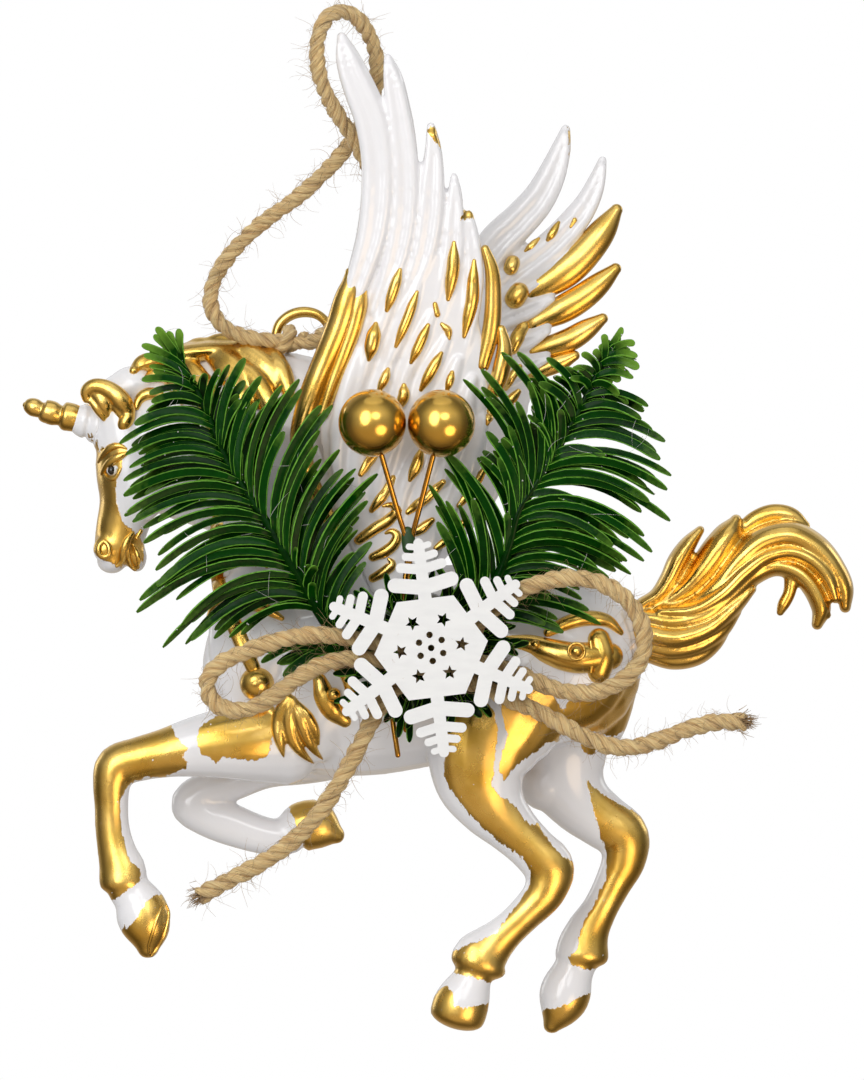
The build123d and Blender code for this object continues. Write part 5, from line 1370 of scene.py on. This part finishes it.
def sprig(name, node, stem, needles, lean_in):
    """Stem with the needles the photograph shows and shorter ones between; gives points on the needles."""
    rows = [(*at(px, py, STEM_Y - min(k, 4) * STEM_STEP), max(0.45, 1.15 - 0.07 * k)) for k,
            (px, py) in enumerate(stem)]
    line = smooth(rows, 0.8)
    stem_points, stem_ways = line[:, :3], unit(np.gradient(line[:, :3], axis=0))
    core = tube([tuple(r) for r in line], 0.8, 12)
    count = len(core[0])
    # Shade numbers are painted shade: 0.35 on the stem, lower for needles set further back
    shapes, edges, tips, shades = [core], [0.3] * count, [0.0] * count, [0.35] * count

    # light is a needle's painted-shade number
    def keep(grown, light, share, shift):
        shape, edge, along = grown
        shapes.append(shape)
        edges.extend(edge)
        tips.extend([share * u + shift for u in along])
        shades.extend([light] * len(edge))

    def grow(base, tip, y_base, y_tip, width, light):
        x, _, z = at(*base)
        near = int(np.argmin((stem_points[:, 0] - x) ** 2 + (stem_points[:, 2] - z) ** 2))
        if (tip[0] - base[0]) * lean_in > 0:
            near = max(0, near - int(math.dist(base, tip) * PX * 0.34))
        x, y, z = stem_points[near]
        root = pixel(x, z)
        young = max(0.0, 0.75 - 0.9 * math.dist(root, stem[-1]) / 90)
        keep(needle(root, tip, stem_ways[near], y + y_base, y + y_tip, width), light, 1.0, young)

    pairs = [(row[:2], row[2:]) for row in needles]
    for base, tip in pairs:
        grow(base, tip, -0.55, -2.6 + rng.uniform(-0.9, 1.2), rng.uniform(1.3, 1.7), rng.uniform(0.3, 1.0))
    for (b0, t0), (b1, t1) in zip(pairs, pairs[1:]):
        if math.dist(t0, t1) > WIDEST_GAP:
            continue
        for u, short in ((0.35, 0.9), (0.75, 0.78)):
            base = tuple(x + (y - x) * u for x, y in zip(b0, b1))
            tip = tuple(x + (y - x) * u for x, y in zip(t0, t1))
            tip = tuple(a + (b - a) * short + rng.uniform(-6, 6) for a, b in zip(base, tip))
            grow(base, tip, 0.5, -0.2 + rng.uniform(-1.3, 0.9), rng.uniform(1.1, 1.6), rng.uniform(0.0, 0.6))
    for _ in range(LOW_NEEDLES):
        angle = rng.uniform(-1.0, 1.0) * 1.75 + (math.pi if lean_in > 0 else 0.0)
        start = (CLUSTER[0] - lean_in * 14 + rng.uniform(-14, 14), CLUSTER[1] + rng.uniform(-26, 26))
        reach = rng.uniform(48, 88)
        tip = (start[0] + reach * math.cos(angle), start[1] - reach * 0.9 * math.sin(angle))
        way = np.array((math.cos(angle + 0.3), 0.0, math.sin(angle + 0.3)))
        depths = rng.uniform(-21.0, -20.0), rng.uniform(-23.6, -21.0)
        keep(needle(start, tip, way, *depths, rng.uniform(1.2, 1.7)), 0.1, 0.4, 0.0)
    piece = make(name, shapes, "needle", (node,))
    store(piece, "edge", edges)
    store(piece, "tip", tips)
    store(piece, "shade", shades)
    return np.array([v for verts, _ in shapes[1:] for v in verts[0::10] + verts[5::10]])


GLUE_LUMPS = (
    ((420, 636, -14.5), (8.6, 6.2, 8.0)), ((438, 662, -14.5), (7.0, 6.0, 7.0)),
    ((394, 650, -14.0), (6.0, 5.5, 6.0)), ((446, 628, -15.0), (6.0, 5.6, 5.6)),
    ((416, 690, -14.0), (5.0, 5.0, 4.4)),
)
BEADS, STRINGS = 170, 60


def glue(sprigs):
    """Set glue: a lump behind the snowflake, beads on the needles and fine threads between them."""
    # The lump's look is dark with painted shade
    make("glue_lump", [ball_shape(at(*p), r) for p, r in GLUE_LUMPS], "glue", ("glue_pad",), voxel=0.5,
         rounds=4)
    shapes = []
    for spots in sprigs:
        for _ in range(BEADS):
            q = spots[rng.randrange(len(spots))] + np.array((rng.gauss(0, 0.1), -0.1, rng.gauss(0, 0.1)))
            r = rng.uniform(0.07, 0.19)
            shapes.append(ball_shape(q, (r, r * 0.8, r), 8))
        for _ in range(STRINGS):
            q = spots[rng.randrange(len(spots))]
            close = spots[np.linalg.norm(spots - q, axis=1) < 6.0]
            end = close[rng.randrange(len(close))]
            if np.linalg.norm(end - q) > 1.5:
                sag = np.array((rng.gauss(0, 0.5), -rng.uniform(0.2, 0.9), rng.gauss(0, 0.5)))
                line = [q + (end - q) * u + sag * 4 * u * (1 - u) for u in np.linspace(0, 1, 8)]
                shapes.append(thread(line, 0.055))
    make("glue_threads", shapes, "strings")


BALL_RADIUS, BALL_Y = 5.95, -26.0
WIRE_HALF, WIRE_Y, WIRE_START = 0.48, -20.6, 5.2
# Centre of the ball, then places on its wire, in pixels
WIRES = {
    "left": ((372.6, 423.5), (407.5, 545), (392, 712), (398, 754)),
    "right": ((441.4, 424.0), (411.5, 540), (404, 700), (406, 729)),
}


def balls():
    """Two plated balls on wires that are bound together and run down behind the snowflake."""
    for name, (centre, cross, mid, end) in WIRES.items():
        c = np.array(at(*centre, BALL_Y))
        make(name + "_ball_skin", [ball_shape(c, (BALL_RADIUS,) * 3, 96)], "mirror", (name + "_ball",))
        top = np.array(at(*cross, -20.5))
        start = c + unit(top - c) * WIRE_START
        places = (start, start * 0.4 + top * 0.6, top, at(*mid, WIRE_Y), at(*end, WIRE_Y))
        wire = tube([(*place, WIRE_HALF) for place in places], 1.0, 12)
        make(name + "_ball_stem", [wire], "wire", (name + "_ball_wire",))
    rows = [(*at(407, 531, -20.7), 1.0, 0.8), (*at(408.5, 540, -20.6), 1.25, 0.85),
            (*at(409, 549, -20.5), 1.15, 0.85)]
    make("stem_tape", [tube(rows, 0.4, 14)], "tape", ("binding_tape",))


glue([sprig("left_sprig_needles", "left_sprig", LEFT_STEM, LEFT_NEEDLES, 1),
      sprig("right_sprig_needles", "right_sprig", RIGHT_STEM, RIGHT_NEEDLES, -1)])
balls()
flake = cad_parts["snowflake"]
flake.data.materials.clear()
flake.data.materials.append(LOOKS["wood"][0])
